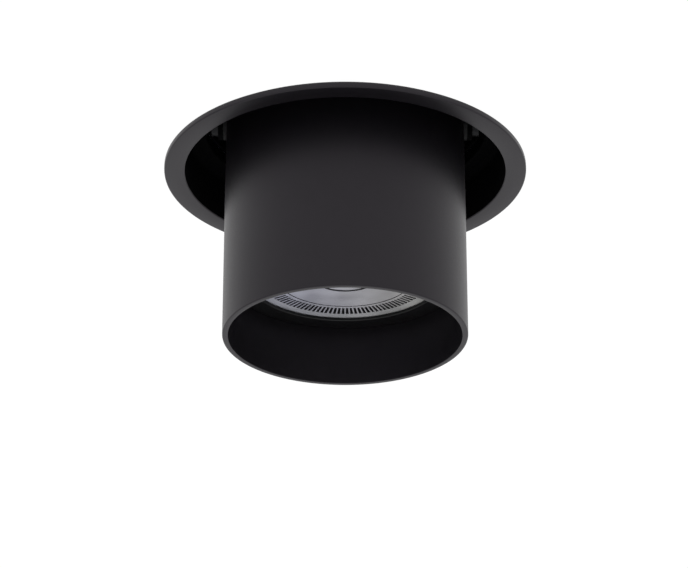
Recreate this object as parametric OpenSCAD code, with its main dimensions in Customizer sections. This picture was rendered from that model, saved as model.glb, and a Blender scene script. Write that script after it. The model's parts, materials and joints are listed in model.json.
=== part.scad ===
// Recessed soffit downlight with a projecting round tube that swivels and tilts.
// Origin: on the tube's axis, in the plane of the soffit's lower face. +Z points up, into the soffit.
// The light shines down, along -Z, and the tilt axis lies along X.

/* [Tube] */
// Outside diameter of the projecting tube
tube_d = 59.6; // [57:0.2:63]
// Wall of the tube
tube_wall = 1.4; // [1.2:0.1:1.8]
// How far the tube projects below the flange
tube_drop = 44.1; // [36:0.5:60]
// How far the tube reaches above the tilt axis
tube_above_pivot = 8.8; // [8.8:0.2:10]
// Softening of the tube's turned edges
tube_edge = 0.3; // [0.1:0.1:0.5]

/* [Trim ring] */
// Width of the dark gap between the tube and the trim ring
opening_gap = 10.05; // [9.8:0.05:12]
// Width of the flange's visible face
flange_w = 5.15; // [4.6:0.05:9]
// Thickness of the flange
flange_t = 1.5; // [1.2:0.1:2.4]
// Wall of the spigot that fills the cut-out
spigot_wall = 1.5; // [1.3:0.1:2]
// Height of the spigot above the soffit's lower face
spigot_h = 13; // [11:0.5:16]
// Thickness of the inner ledge that carries the can
ledge_t = 3; // [2.4:0.2:4]
// Fillet under the ledge
ledge_fillet = 1.6; // [0.6:0.2:2.4]
// Softening of the flange's edges
flange_edge = 0.35; // [0.1:0.05:0.5]

/* [Seals] */
// Thickness of the foam seal between the flange and the soffit, pressed down
gasket_t = 0.6; // [0.4:0.1:1.2]
// Width of the foam seal
gasket_w = 1.6; // [1:0.1:1.8]
// How far the foam seal stays back from the flange's edge
gasket_inset = 1; // [0.8:0.1:1.5]
// Thickness of the seal under the can's foot
can_seal_t = 0.5; // [0.3:0.1:1]

/* [Can] */
// Sheet thickness of the can
can_t = 1; // [0.8:0.1:1.2]
// How far the can's foot stays back from the spigot's outside
can_foot_back = 0; // [0:0.01:0.05]
// Outside radius of the can's top corner
can_corner = 3.5; // [2.5:0.5:5]
// Clearance between the can and the swivelling parts
can_clear = 1.15; // [0.8:0.05:1.5]
// Number of screws that hold the can's foot
can_screw_n = 4; // [3:1:6]
// Radius of those screws' circle outside the can's wall
can_screw_out = 2.8; // [2.7:0.05:2.9]

/* [Tilt pivot] */
// Height of the tilt axis above the flange's lower face
pivot_up = 15; // [13:0.5:17]
// Thickness of the nylon saddle washer beside the tube
saddle_t = 0.75; // [0.6:0.05:1]
// Radius of the saddle washer
saddle_r = 4.5; // [4:0.25:5]
// Shoulder radius of the pivot screw
shoulder_r = 2.5; // [2.2:0.1:2.8]
// Head radius of the pivot screw
pivot_head_r = 3.5; // [3.2:0.1:4]
// Head thickness of the pivot screw
pivot_head_t = 1.6; // [1.4:0.1:2]
// Thread radius of the pivot screw
pivot_thread_r = 1.95; // [1.5:0.05:2]
// Radial clearance of the running fits
run_gap = 0.05; // [0.03:0.01:0.08]
// Gap between flat faces that slide on each other
face_gap = 0.05; // [0.03:0.01:0.1]

/* [Yoke] */
// Sheet thickness of the yoke
yoke_t = 1.2; // [1:0.1:1.5]
// Width of the yoke's arms at the tilt axis
yoke_arm_w = 9; // [8:0.5:10]
// Width of the yoke's crosspiece
yoke_top_w = 13; // [12:0.5:15]
// Inside bend radius of the yoke
yoke_bend = 2; // [1:0.5:3]
// How far the earth screw stands in from the yoke's arm
earth_in = 10.6; // [9:0.2:12]
// Radius at which the yoke's stop tab stands
stop_r = 13.5; // [13:0.5:16]
// Width of the stop tab and of the dimple that it meets
stop_w = 2.4; // [2:0.2:3]

/* [Swivel nipple] */
// Outside radius of the hollow swivel nipple
nipple_r = 5; // [4.5:0.1:5.5]
// Bore radius of the nipple, for the lamp's leads
nipple_bore_r = 3.6; // [3:0.1:3.8]
// Radius of the nipple's head
nipple_head_r = 8; // [7.5:0.25:9]
// Thickness of the nipple's head
nipple_head_t = 2; // [1.6:0.1:2.5]
// Height of the disc spring over the nipple's head
disc_spring_h = 1; // [0.8:0.1:1.4]
// Sheet thickness of the disc spring
disc_spring_t = 0.5; // [0.3:0.1:0.6]
// Thickness of the fibre washer between yoke and can
fibre_t = 1.25; // [1.2:0.05:1.6]
// Outside radius of the fibre washer
fibre_r = 11; // [10:0.5:11.5]
// Height of the nut inside the terminal box
nipple_nut_h = 3.5; // [3:0.5:5]
// Clearance between the tilting head and the nipple
head_clear = 1.3; // [1:0.1:3]

/* [Lamp] */
// Diameter of the lamp's face
lamp_d = 50; // [49:0.25:50.5]
// Length of the lamp from its face to its cap's end
lamp_len = 47; // [45:0.5:50]
// Height of the lamp's front rim
lamp_rim_h = 6; // [5:0.5:8]
// Radius of the lamp's cap
lamp_cap_r = 13; // [12:0.25:13.5]
// Height of the lamp's cap
lamp_cap_h = 8.7; // [7:0.1:10]
// Wall of the lamp's shell
lamp_wall = 1.5; // [1.2:0.1:2]
// Number of cooling ribs on the lamp's shell
lamp_rib_n = 20; // [12:2:24]
// Thickness of a cooling rib
lamp_rib_t = 1; // [0.8:0.1:1.4]
// Height of a cooling rib
lamp_rib_h = 1.2; // [0.8:0.1:1.6]
// Distance between the two contact pins
pin_pitch = 10; // [9:0.5:11]
// Radius of a contact pin's shank
pin_r = 1.5; // [1.2:0.1:1.6]
// Radius of a contact pin's head
pin_head_r = 2.5; // [2.3:0.1:2.6]
// Length of a contact pin
pin_len = 6.5; // [6:0.1:7]
// Height of a contact pin's head
pin_head_h = 2.6; // [2:0.1:3]
// Angle that the lamp turns through to come out of its holder
twist_angle = 30; // [28:1:36]

/* [Lens] */
// Thickness of the lens's front plate
lens_t = 1.4; // [1:0.1:2]
// Radius of the collimator where it meets the front plate
collimator_r = 16.7; // [15:0.1:17]
// Radius of the collimator beside the light source
collimator_back_r = 7; // [6.5:0.1:8]
// Depth of the collimator behind the front plate
collimator_h = 10; // [8:0.5:12]
// Inner radius of the ring of ribs
rib_in_r = 17.8; // [17.4:0.1:19]
// Outer radius of the ring of ribs
rib_out_r = 20.8; // [20:0.1:21.5]
// Height of the ribs
rib_h = 0.4; // [0.3:0.1:0.8]
// Number of ribs
rib_n = 120; // [60:2:200]
// Radius of the round dish in the middle of the lens
dish_r = 7.7; // [6:0.1:9]
// Depth of that dish
dish_depth = 0.4; // [0.2:0.1:0.8]

/* [Retaining ring] */
// How deep the ring sits inside the tube's mouth
ring_recess = 15; // [12:0.5:20]
// Inner radius of the ring's lip
ring_in_r = 23.5; // [22.5:0.1:24]
// Thickness of the ring's lip
ring_lip_t = 0.8; // [0.6:0.1:1.2]
// Wall of the ring's sleeve
ring_wall = 1.4; // [1:0.1:1.8]
// Height of the ring
ring_h = 6; // [5:0.5:8]
// Gap between the ring's lip and the lamp's face
lamp_seat_gap = 0.1; // [0.05:0.05:0.3]

/* [Lampholder] */
// Length of the ceramic lampholder
holder_l = 33; // [32:0.5:34]
// Width of the ceramic lampholder
holder_w = 19; // [18.5:0.5:22]
// Height of the ceramic lampholder
holder_h = 18; // [16:0.5:20]
// Thickness of the holder's face over the contact chamber
holder_face_t = 2.6; // [2.2:0.1:3]
// Height of the contact chamber
chamber_h = 5; // [4.6:0.1:5.5]
// Clearance between the lamp's cap and the holder
holder_gap = 0.2; // [0.1:0.1:0.4]
// Sheet thickness of the holder's bracket and the tube's cap
bracket_t = 1.2; // [1:0.1:1.5]
// Width of the holder's bracket
bracket_w = 14; // [12:0.5:16]
// Length of each foot of the bracket
bracket_foot = 7.5; // [7:0.25:8]
// Clearance round the holder in the bracket and the cap
holder_side_gap = 0.8; // [0.4:0.1:1]

/* [Spring clips] */
// Height of the clip's pin above the top of the spigot
clip_pin_up = 11; // [10:0.5:14]
// Distance of the clip's pin from the can's wall
clip_pin_out = 2.9; // [2.85:0.05:3.2]
// Radius of the clip's pin
clip_pin_r = 1; // [0.9:0.05:1.1]
// Sheet thickness of the clip's bracket
clip_bracket_t = 1; // [0.8:0.1:1]
// Outer distance between the bracket's ears
clip_ears_w = 12.4; // [12.2:0.1:13]
// Angle below the horizontal at which the clip's arm rests
clip_angle = 45; // [40:1:50]
// Height of the clip's foot above the soffit's lower face
clip_foot_z = 2.6; // [2.2:0.1:6]
// Length of the clip's foot
clip_foot_l = 7; // [6:0.5:9]
// Width of the clip's foot
clip_foot_w = 12; // [10.5:0.5:12.5]
// Sheet thickness of the clip's arm
clip_t = 0.8; // [0.6:0.1:0.9]
// Thickness of the rubber sleeve on the clip's foot
sleeve_t = 0.7; // [0.5:0.1:1]
// Wire diameter of the clip's spring
spring_wire = 0.5; // [0.4:0.05:0.5]
// Rise of the spring's wire in one turn
spring_pitch = 1; // [0.95:0.01:1.05]
// Whole turns of the clip's spring, besides the part turn between its legs
spring_turns = 4; // [3:1:4]

/* [Terminal box] */
// Length of the terminal box
box_l = 44; // [42:1:46]
// Width of the terminal box
box_w = 34; // [34:1:38]
// Height of the terminal box without its lid
box_h = 22; // [21:0.5:26]
// Wall of the terminal box
box_wall = 2; // [1.6:0.2:2.4]
// Thickness of the lid
lid_t = 2; // [1.6:0.2:3]
// Radius of the box's upright corners
box_corner = 3; // [2:0.5:4]
// How far the box is set back from the swivel axis, away from the gland
box_shift = 4; // [3:0.5:5]
// Number of poles in the terminal block
pole_n = 3; // [2:1:3]
// Distance between poles
pole_pitch = 6; // [5.6:0.1:6]

/* [Cable gland] */
// Thread radius of the gland
gland_r = 6; // [5.5:0.1:6.5]
// Distance across the flats of the gland's collar
gland_flats = 15; // [14:0.5:15.5]
// Bore radius of the gland's rubber seal, for the supply cable
gland_seal_r = 3.5; // [3:0.1:3.8]
// Length of the gland's rubber seal
gland_seal_l = 8; // [6:0.5:9]
// Height of the gland's axis above the box's floor
gland_up = 11; // [10.5:0.5:12]

/* [Fixings] */
// Thread radius of the small screws
screw_r = 1.45; // [1.2:0.05:1.5]
// Head radius of the small screws
screw_head_r = 2.5; // [2.2:0.1:2.5]
// Head thickness of the small screws
screw_head_t = 1.6; // [1.2:0.1:2]
// Radial clearance of a screw in its hole
screw_gap = 0.15; // [0.1:0.05:0.3]
// Radius of a rivet's shank
rivet_r = 0.95; // [0.8:0.05:1]
// Head radius of a rivet
rivet_head_r = 1.6; // [1.4:0.1:1.7]
// Head thickness of a rivet
rivet_head_t = 0.6; // [0.4:0.1:0.8]

/* [Hidden] */
$fn = 96;
fine_fn = 360;
eps = 0.01;
joint_gap = 0.05;

// Plain radii of the tube and the trim ring
tube_r = tube_d / 2;
tube_in_r = tube_r - tube_wall;
opening_r = tube_r + opening_gap;
flange_r = opening_r + flange_w;
spigot_r = opening_r + spigot_wall;

// Heights, from the flange down to the tube's rim and up through the stack
flange_back_z = -gasket_t;
flange_z = flange_back_z - flange_t;
rim_z = flange_z - tube_drop;
pivot_z = flange_z + pivot_up;
tube_top_z = pivot_z + tube_above_pivot;
ring_z = rim_z + ring_recess;
lamp_z = ring_z + ring_lip_t + lamp_seat_gap;
lamp_cap_top_z = lamp_z + lamp_len;
holder_z = lamp_cap_top_z + holder_gap;
holder_top_z = holder_z + holder_h;
head_top_z = holder_top_z + bracket_t + screw_head_t;
swing_r = norm([head_top_z - pivot_z, bracket_w / 2]);
nipple_z = pivot_z + swing_r + head_clear;
disc_spring_z = nipple_z + nipple_head_t;
yoke_z = disc_spring_z + disc_spring_h + face_gap;
yoke_top_z = yoke_z + yoke_t;
can_in_z = yoke_top_z + face_gap + fibre_t;
can_top_z = can_in_z + can_t;

// Places along X at the tilt pivot
saddle_x = tube_r + saddle_t;
arm_x = saddle_x + face_gap;
pivot_head_x = arm_x + yoke_t + face_gap;
insert_flange_t = 1.5;
insert_flange_r = 3.8;
insert_neck_r = 3;

// The tube's cap, and what is screwed to it
cap_z = pivot_z + insert_flange_r + 0.3;
cap_rim_h = 3.2;
cap_wall = 1;
cap_out_r = tube_in_r - joint_gap;
cap_rivet_z = cap_z + bracket_t + cap_rim_h / 2;
bracket_in_x = holder_l / 2 + holder_side_gap;
bracket_screw_x = bracket_in_x + bracket_t + 3.7;
holder_screw_x = holder_l / 2 - 5;
holder_screw_l = bracket_t + 5;
holder_screw_hole = 6;
vent_half_w = 1.1;
vent_half_l = 2.6;
vent_r = cap_out_r - cap_wall - vent_half_w - vent_half_l - 4.2;
contact_w = 3.2;
contact_t = 0.5;

// The lamp, from its face up to its cap
lamp_r = lamp_d / 2;
rim_top_z = lamp_z + lamp_rim_h;
lamp_cap_z = lamp_cap_top_z - lamp_cap_h;
shell_neck_z = lamp_cap_z - 1;
shell_neck_r = lamp_cap_r + 1;
shell_r = lamp_r - lamp_rib_h - 0.4;
board_z = lamp_z + lens_t + collimator_h + 1;
board_t = 1.6;
shell_floor_z = board_z + board_t;
shell_floor_t = 2;
board_hole_r = 1.2;
board_hole_in = 5.4;
driver_w = 18;
driver_t = 1.6;
driver_h = 15;
capacitor_r = 3.6;
capacitor_h = 10;
coil_w = 7;
coil_d = 6;
coil_h = 8;
driver_part_up = 1;

// The can and its foot
can_in_r = norm([pivot_head_x + pivot_head_t, pivot_head_r]) + can_clear;
can_r = can_in_r + can_t;
can_foot_r = spigot_r - can_foot_back;
can_z = spigot_h + can_seal_t;
can_screw_circle = can_r + can_screw_out;
can_foot_bend = can_screw_out - screw_head_r - joint_gap;
ledge_r = can_in_r + 0.4;

// The swivel stop: how far the tab and the dimple reach into the gap over the yoke
stop_tab_h = fibre_t - 0.2;
stop_overlap = 0.9;
earth_x = -(arm_x - earth_in);

// The spring clips, on the right side; the left side is turned half round
clip_pin_x = can_r + clip_pin_out;
clip_pin_z = spigot_h + clip_pin_up;
knuckle_r = clip_pin_r + 0.66;
ear_r = 2;
ear_t = 1;
ear_root_h = 5.2;
clip_rivet_up = 4.6;
rivet_edge = 0.2;
pin_head_step = 0.6;
leaf_mid = knuckle_r - clip_t / 2 - 0.06;
leaf_l = (clip_pin_z - clip_foot_z - leaf_mid * cos(clip_angle)) / sin(clip_angle);
foot_bend = 3;
foot_start = [leaf_l - 2 + foot_bend * sin(clip_angle), foot_bend * (1 - cos(clip_angle)) - leaf_mid];
lip_x = clip_pin_x + ear_r - 0.2;
lip_w = 8;
arm_under_lip_x = (lip_x - clip_pin_x) * tan(clip_angle) + (leaf_mid + clip_t / 2) / cos(clip_angle);
lip_z = clip_pin_z - arm_under_lip_x - face_gap;
high_rivet_z = clip_pin_z + clip_rivet_up;
low_rivet_z = lip_z - clip_bracket_t - rivet_head_r - joint_gap;
clip_plate_z = max(low_rivet_z - rivet_head_r - rivet_edge, can_z + can_t + joint_gap);
clip_plate_top_z = high_rivet_z + rivet_head_r + rivet_edge;
ear_gap = 0.3;
knuckle_out_y = clip_ears_w / 2 - ear_t - ear_gap;
coil_r = clip_pin_r + 0.15 + spring_wire / 2;
coil_start = 90 - clip_angle - 11;
coil_end = 180 + 360 * spring_turns;
coil_l = spring_pitch * (coil_end - coil_start) / 360;
knuckle_in_y = coil_l / 2 + spring_wire / 2 + 0.25;
spring_leg_down = clip_pin_z - lip_z - 0.4;
spring_leg_out = 9.6;
coil_rings = 8;
wire_sides = 6;

// The terminal box
box_z = can_top_z;
box_x0 = -box_l / 2 - box_shift;
box_x1 = box_l / 2 - box_shift;
lid_z = box_z + box_h;
box_floor_z = box_z + box_wall;
gland_z = box_floor_z + gland_up;
boss_r = 3;
boss_in = 4.6;
boss_hole = 10;
boss_web = 1.5;
nipple_top_z = box_floor_z + nipple_nut_h + 1.5;
block_gap = 0.5;
block_x = box_x0 + box_wall + 1.5;
block_l = -nipple_head_r - block_gap - block_x;
block_h = 13;
clamp_r = 2.2;
clamp_wall = 0.8;
clamp_in = 1.5;
clamp_up = 4.5;
clamp_screw_h = block_h - clamp_up - 1;

// The gland, outwards from the box's wall
gland_collar_l = 4;
gland_thread_l = 6;
gland_mouth_r = gland_seal_r + 0.4;
gland_corner_r = gland_flats / sqrt(3);
gland_nut_flat_l = 6;
gland_nut_l = 11;
locknut_t = 2.5;

// Colours as the photograph shows them, and plain ones for what it hides
coat = [0.16, 0.16, 0.165];
zinc = [0.62, 0.63, 0.64];
plastic = [0.09, 0.09, 0.095];
rubber = [0.05, 0.05, 0.05];
spring_steel = [0.45, 0.45, 0.46];
brass = [0.72, 0.58, 0.30];
ceramic = [0.88, 0.87, 0.83];
fibre = [0.36, 0.12, 0.08];

// Points of an arc about [cx, cy] from angle a0 to a1
function arc(cx, cy, r, a0, a1, n = 5) =
    [for (i = [0:n]) [cx + r * cos(a0 + (a1 - a0) * i / n), cy + r * sin(a0 + (a1 - a0) * i / n)]];

// Left-hand normal of the stretch from p to q
function normal(p, q) = [p.y - q.y, q.x - p.x] / norm(q - p);

// Corner offset at point i of an open path, so that both stretches keep their thickness
function corner(path, i) =
    let (
        a = i == 0 ? normal(path[0], path[1]) : normal(path[i - 1], path[i]),
        b = i == len(path) - 1 ? a : normal(path[i], path[i + 1])
    )
    (a + b) / (1 + a * b);

// Outline of a bent sheet of thickness t whose middle follows the path
function sheet(path, t) =
    concat(
        [for (i = [0:len(path) - 1]) path[i] + corner(path, i) * t / 2],
        [for (i = [len(path) - 1:-1:0]) path[i] - corner(path, i) * t / 2]
    );

// A cylinder from height z0 to z1
module rod(r, z0, z1) {
    translate([0, 0, z0]) cylinder(r = r, h = z1 - z0);
}

// A cylinder along +X from x0 to x1
module rod_x(r, x0, x1) {
    translate([x0, 0, 0]) rotate([0, 90, 0]) cylinder(r = r, h = x1 - x0);
}

// A cylinder along Y, centred on y = 0
module rod_y(r, l) {
    rotate([90, 0, 0]) cylinder(r = r, h = l, center = true);
}

// A ring between two radii and two heights
module ring(r_in, r_out, z0, z1) {
    rotate_extrude() translate([r_in, z0]) square([r_out - r_in, z1 - z0]);
}

// A rectangle with round corners, from [x0, y0] to [x1, y1]
module round_rect(x0, y0, x1, y1, r) {
    translate([x0 + r, y0]) square([x1 - x0 - 2 * r, y1 - y0]);
    translate([x0, y0 + r]) square([x1 - x0, y1 - y0 - 2 * r]);
    for (x = [x0 + r, x1 - r], y = [y0 + r, y1 - r]) translate([x, y]) circle(r = r, $fn = 48);
}

// The same shape on the right, at rest, and on the left, turned half round
module both_sides() {
    children();
    rotate([0, 0, 180]) children();
}

// A pan-head screw pointing down, its head's underside at z = 0, with a cross slot
module small_screw(length) {
    slot_l = 2.8;
    slot_w = 0.6;
    slot_depth = 0.7;
    difference() {
        union() {
            rod(screw_head_r, 0, screw_head_t * 0.6);
            translate([0, 0, screw_head_t * 0.6 - eps])
                cylinder(r1 = screw_head_r, r2 = screw_head_r * 0.7, h = screw_head_t * 0.4 + eps);
            rod(screw_r, -length, eps);
        }
        for (a = [0, 90]) rotate([0, 0, a])
            translate([-slot_l / 2, -slot_w / 2, screw_head_t - slot_depth]) cube([slot_l, slot_w, 1]);
    }
}

// The screws on a circle in the can's foot, and their holes
module on_can_screws() {
    for (i = [0:can_screw_n - 1])
        rotate([0, 0, 45 + 360 * i / can_screw_n]) translate([can_screw_circle, 0, 0]) children();
}

// ---- Housing ----

// Cast trim ring: flange, spigot and the inner ledge that carries the can
module trim_ring() {
    ledge_z = spigot_h - ledge_t;
    profile = concat(
        arc(flange_r - flange_edge, flange_z + flange_edge, flange_edge, -90, 0),
        arc(flange_r - flange_edge, flange_back_z - flange_edge, flange_edge, 0, 90),
        [[spigot_r, flange_back_z], [spigot_r, spigot_h - 0.5], [spigot_r - 0.5, spigot_h]],
        [[ledge_r, spigot_h], [ledge_r, ledge_z + 0.4], [ledge_r + 0.4, ledge_z]],
        arc(opening_r - ledge_fillet, ledge_z - ledge_fillet, ledge_fillet, 90, 0),
        arc(opening_r + flange_edge, flange_z + flange_edge, flange_edge, 180, 270)
    );
    color(coat) difference() {
        rotate_extrude() polygon(profile);
        on_can_screws() rod(screw_r + joint_gap, ledge_z - 1, spigot_h + 1);
    }
}

// Foam seal between the flange and the soffit
module soffit_gasket() {
    out_r = flange_r - gasket_inset;
    color(rubber) ring(out_r - gasket_w, out_r, flange_back_z, 0);
}

// Deep-drawn can that closes the top against dust and weather
module can() {
    corner_in = can_corner - can_t;
    profile = concat(
        [[can_foot_r, can_z], [can_foot_r, can_z + can_t]],
        [[can_r + can_foot_bend, can_z + can_t], [can_r, can_z + can_t + can_foot_bend]],
        arc(can_r - can_corner, can_top_z - can_corner, can_corner, 0, 90),
        [[nipple_r + joint_gap, can_top_z], [nipple_r + joint_gap, can_in_z]],
        arc(can_in_r - corner_in, can_in_z - corner_in, corner_in, 90, 0),
        [[can_in_r, can_z + can_foot_bend], [can_in_r + can_foot_bend, can_z]]
    );
    color(zinc) difference() {
        union() {
            rotate_extrude() polygon(profile);
            translate([-stop_r, 0, 0]) rod(stop_w / 2, can_in_z - stop_overlap, can_in_z + eps);
        }
        on_can_screws() rod(screw_r + screw_gap, can_z - 1, can_z + can_t + 1);
        both_sides() clip_rivet_places() rod_x(rivet_r + joint_gap, -can_t - 1, 1);
    }
}

// Flat seal between the trim ring's ledge and the can's foot
module can_seal() {
    color(rubber) difference() {
        ring(can_r, can_foot_r, spigot_h, can_z);
        on_can_screws() rod(screw_r + screw_gap, spigot_h - 1, can_z + 1);
    }
}

module can_screws() {
    head_z = can_z + can_t;
    color(zinc) on_can_screws() translate([0, 0, head_z]) small_screw(head_z - spigot_h + ledge_t);
}

// ---- Spring clips ----

// The two rivets of a clip's bracket, each at the can's wall and pointing outwards
module clip_rivet_places() {
    for (z = [high_rivet_z, low_rivet_z]) translate([can_r, 0, z]) children();
}

// Folded bracket: a plate on the can's wall, two ears for the pin, and a lip that stops the arm
module clip_bracket() {
    plate_mid_x = can_r + clip_bracket_t / 2;
    color(zinc) difference() {
        union() {
            intersection() {
                ring(can_r, can_r + clip_bracket_t, clip_plate_z, clip_plate_top_z);
                translate([0, -clip_ears_w / 2, 0]) cube([2 * can_r, clip_ears_w, can_top_z]);
            }
            for (side = [-1, 1])
                translate([0, side * (clip_ears_w - ear_t) / 2, 0])
                    rotate([90, 0, 0]) linear_extrude(ear_t, center = true) clip_ear();
            translate([plate_mid_x, -lip_w / 2, lip_z - clip_bracket_t])
                cube([lip_x - plate_mid_x, lip_w, clip_bracket_t]);
        }
        translate([clip_pin_x, 0, clip_pin_z]) rod_y(clip_pin_r + 0.03, clip_ears_w + 2);
        clip_rivet_places() rod_x(rivet_r + joint_gap, -1, clip_bracket_t + 1);
    }
}

// Outline of one ear in X and Z: a gusset that narrows to the round eye
module clip_ear() {
    root_x = can_r + clip_bracket_t * 0.15;
    tip_x = clip_pin_x + ear_r * 0.45;
    tip_h = ear_r * 0.85;
    translate([clip_pin_x, clip_pin_z]) circle(r = ear_r, $fn = 48);
    polygon([
        [root_x, clip_pin_z - ear_root_h], [tip_x, clip_pin_z - tip_h],
        [tip_x, clip_pin_z + tip_h], [root_x, clip_pin_z + ear_root_h]
    ]);
}

module clip_bracket_right() {
    clip_bracket();
}

module clip_bracket_left() {
    rotate([0, 0, 180]) clip_bracket();
}

module clip_rivets() {
    color(zinc) both_sides() clip_rivet_places() {
        rod_x(rivet_r, -can_t - rivet_head_t, clip_bracket_t + rivet_head_t);
        rod_x(rivet_head_r, clip_bracket_t, clip_bracket_t + rivet_head_t);
        rod_x(rivet_head_r, -can_t - rivet_head_t, -can_t - 0.04);
    }
}

// Pin with a peened head at each end
module clip_pin() {
    color(zinc) translate([clip_pin_x, 0, clip_pin_z]) {
        rod_y(clip_pin_r, clip_ears_w + 2 * pin_head_step);
        for (side = [-1, 1])
            translate([0, side * (clip_ears_w + pin_head_step) / 2, 0])
                rod_y(clip_pin_r + pin_head_step, pin_head_step);
    }
}

module clip_pin_right() {
    clip_pin();
}

module clip_pin_left() {
    rotate([0, 0, 180]) clip_pin();
}

// Places its children at the clip's pin, with +X along the arm
module at_arm() {
    translate([clip_pin_x, 0, clip_pin_z]) rotate([0, clip_angle, 0]) children();
}

// The arm's sheet seen from the side: straight, then bent level for the foot
function arm_path() =
    concat(
        [[0, -leaf_mid], [leaf_l - 2, -leaf_mid]],
        arc(leaf_l - 2, foot_bend - leaf_mid, foot_bend, -90 + clip_angle / 4, -90 + clip_angle, 3),
        [foot_start + (clip_foot_l - 1) * [cos(clip_angle), sin(clip_angle)]]
    );

// The arm's sheet seen from above: forked round the spring, then widening to the foot
module arm_plan(foot_w) {
    end_x = leaf_l + clip_foot_l * cos(clip_angle);
    half_w = foot_w / 2;
    narrow_x = 10;
    wide_x = leaf_l - 6;
    nose = 2;
    difference() {
        polygon([
            [0, -knuckle_out_y], [narrow_x, -knuckle_out_y], [wide_x, -half_w], [end_x - nose, -half_w],
            [end_x + nose, nose - half_w], [end_x + nose, half_w - nose],
            [end_x - nose, half_w], [wide_x, half_w], [narrow_x, knuckle_out_y], [0, knuckle_out_y]
        ]);
        translate([-1, -knuckle_in_y]) square([5, 2 * knuckle_in_y]);
        translate([leaf_l / 2, 0]) round_slot(leaf_l * 0.16, 1.5);
    }
}

// A slot along X with round ends, centred on the origin
module round_slot(half_l, r) {
    translate([-half_l, -r]) square([2 * half_l, 2 * r]);
    for (side = [-1, 1]) translate([side * half_l, 0]) circle(r = r, $fn = 32);
}

// The arm's sheet, cut from the side view and the view from above
module arm_sheet() {
    intersection() {
        rotate([90, 0, 0]) linear_extrude(clip_foot_w + 2, center = true)
            polygon(sheet(arm_path(), clip_t));
        translate([0, 0, -foot_bend]) linear_extrude(6 * foot_bend) arm_plan(clip_foot_w);
    }
}

module clip_arm() {
    knuckle_l = knuckle_out_y - knuckle_in_y;
    color(spring_steel) at_arm() difference() {
        union() {
            arm_sheet();
            for (side = [-1, 1])
                translate([0, side * (knuckle_out_y + knuckle_in_y) / 2, 0]) rod_y(knuckle_r, knuckle_l);
        }
        rod_y(clip_pin_r + run_gap, clip_ears_w);
    }
}

module clip_arm_right() {
    clip_arm();
}

module clip_arm_left() {
    rotate([0, 0, 180]) clip_arm();
}

// Rubber sleeve pushed over the foot, so that it grips the soffit
module clip_sleeve() {
    color(rubber) at_arm() difference() {
        translate([foot_start.x, 0, foot_start.y]) rotate([0, -clip_angle, 0])
            translate([0.8, 0, -clip_t / 2 - sleeve_t]) linear_extrude(clip_t + 2 * sleeve_t)
                round_rect(0, -clip_foot_w / 2 - sleeve_t, clip_foot_l, clip_foot_w / 2 + sleeve_t, 1.5);
        arm_sheet();
    }
}

module clip_sleeve_right() {
    clip_sleeve();
}

module clip_sleeve_left() {
    rotate([0, 0, 180]) clip_sleeve();
}

// Middle line of the torsion spring round the pin, in X, Y, Z, each point with its ring's angle:
// the leg on the arm, the coil, and the leg that runs down the bracket
function coil_y(a) = coil_l * ((a - coil_start) / (coil_end - coil_start) - 0.5);
function coil_point(a) = [coil_r * cos(a), coil_y(a), coil_r * sin(a)];
function spring_path() =
    let (steps = ceil(coil_rings * (coil_end - coil_start) / 360))
    concat(
        [for (s = [spring_leg_out, spring_leg_out - spring_wire])
            [coil_point(coil_start) + s * [sin(coil_start), 0, -cos(coil_start)], coil_start]],
        [for (i = [0:steps])
            let (a = coil_start + (coil_end - coil_start) * i / steps) [coil_point(a), a]],
        [for (s = [spring_leg_down - spring_wire, spring_leg_down])
            [coil_point(coil_end) + s * [-sin(coil_end), 0, cos(coil_end)], coil_end]]
    );

// The spring's least gap to itself, between points at least three quarters of a turn apart
function spring_gap(path) =
    min([
        for (i = [0:len(path) - 7], j = [i + 6:len(path) - 1])
            norm(path[i][0] - path[j][0])
    ]) - spring_wire;
echo(str("clip spring, least gap to itself in mm: ", spring_gap(spring_path())));

module clip_spring() {
    path = spring_path();
    last = (len(path) - 1) * wire_sides;
    points = [
        for (p = path, k = [0:wire_sides - 1])
            let (
                u = spring_wire / 2 * cos(360 * k / wire_sides),
                v = spring_wire / 2 * sin(360 * k / wire_sides)
            )
            p[0] + [u * cos(p[1]), v, u * sin(p[1])]
    ];
    walls = [
        for (i = [0:len(path) - 2], k = [0:wire_sides - 1])
            let (a = i * wire_sides + k, b = i * wire_sides + (k + 1) % wire_sides)
            each [[a, b, b + wire_sides], [a, b + wire_sides, a + wire_sides]]
    ];
    ends = [for (k = [1:wire_sides - 2]) each [[0, k + 1, k], [last, last + k, last + k + 1]]];
    color(spring_steel) translate([clip_pin_x, 0, clip_pin_z]) polyhedron(points, concat(walls, ends));
}

module clip_spring_right() {
    clip_spring();
}

module clip_spring_left() {
    rotate([0, 0, 180]) clip_spring();
}

// ---- Swivel ----

// Hollow threaded nipple that the yoke turns on; the lamp's leads go up through it
module swivel_nipple() {
    chamfer = 0.5;
    color(brass) rotate_extrude() polygon([
        [nipple_bore_r, nipple_z],
        [nipple_head_r - chamfer, nipple_z], [nipple_head_r, nipple_z + chamfer],
        [nipple_head_r, disc_spring_z], [nipple_r, disc_spring_z],
        [nipple_r, nipple_top_z - chamfer], [nipple_r - chamfer, nipple_top_z],
        [nipple_bore_r, nipple_top_z]
    ]);
}

// Hexagon nut that clamps the terminal box and the can to the nipple
module nipple_nut() {
    z = box_floor_z;
    color(brass) difference() {
        translate([0, 0, z]) cylinder(r = nipple_head_r, h = nipple_nut_h, $fn = 6);
        rod(nipple_r + joint_gap, z - 1, z + nipple_nut_h + 1);
    }
}

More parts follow.
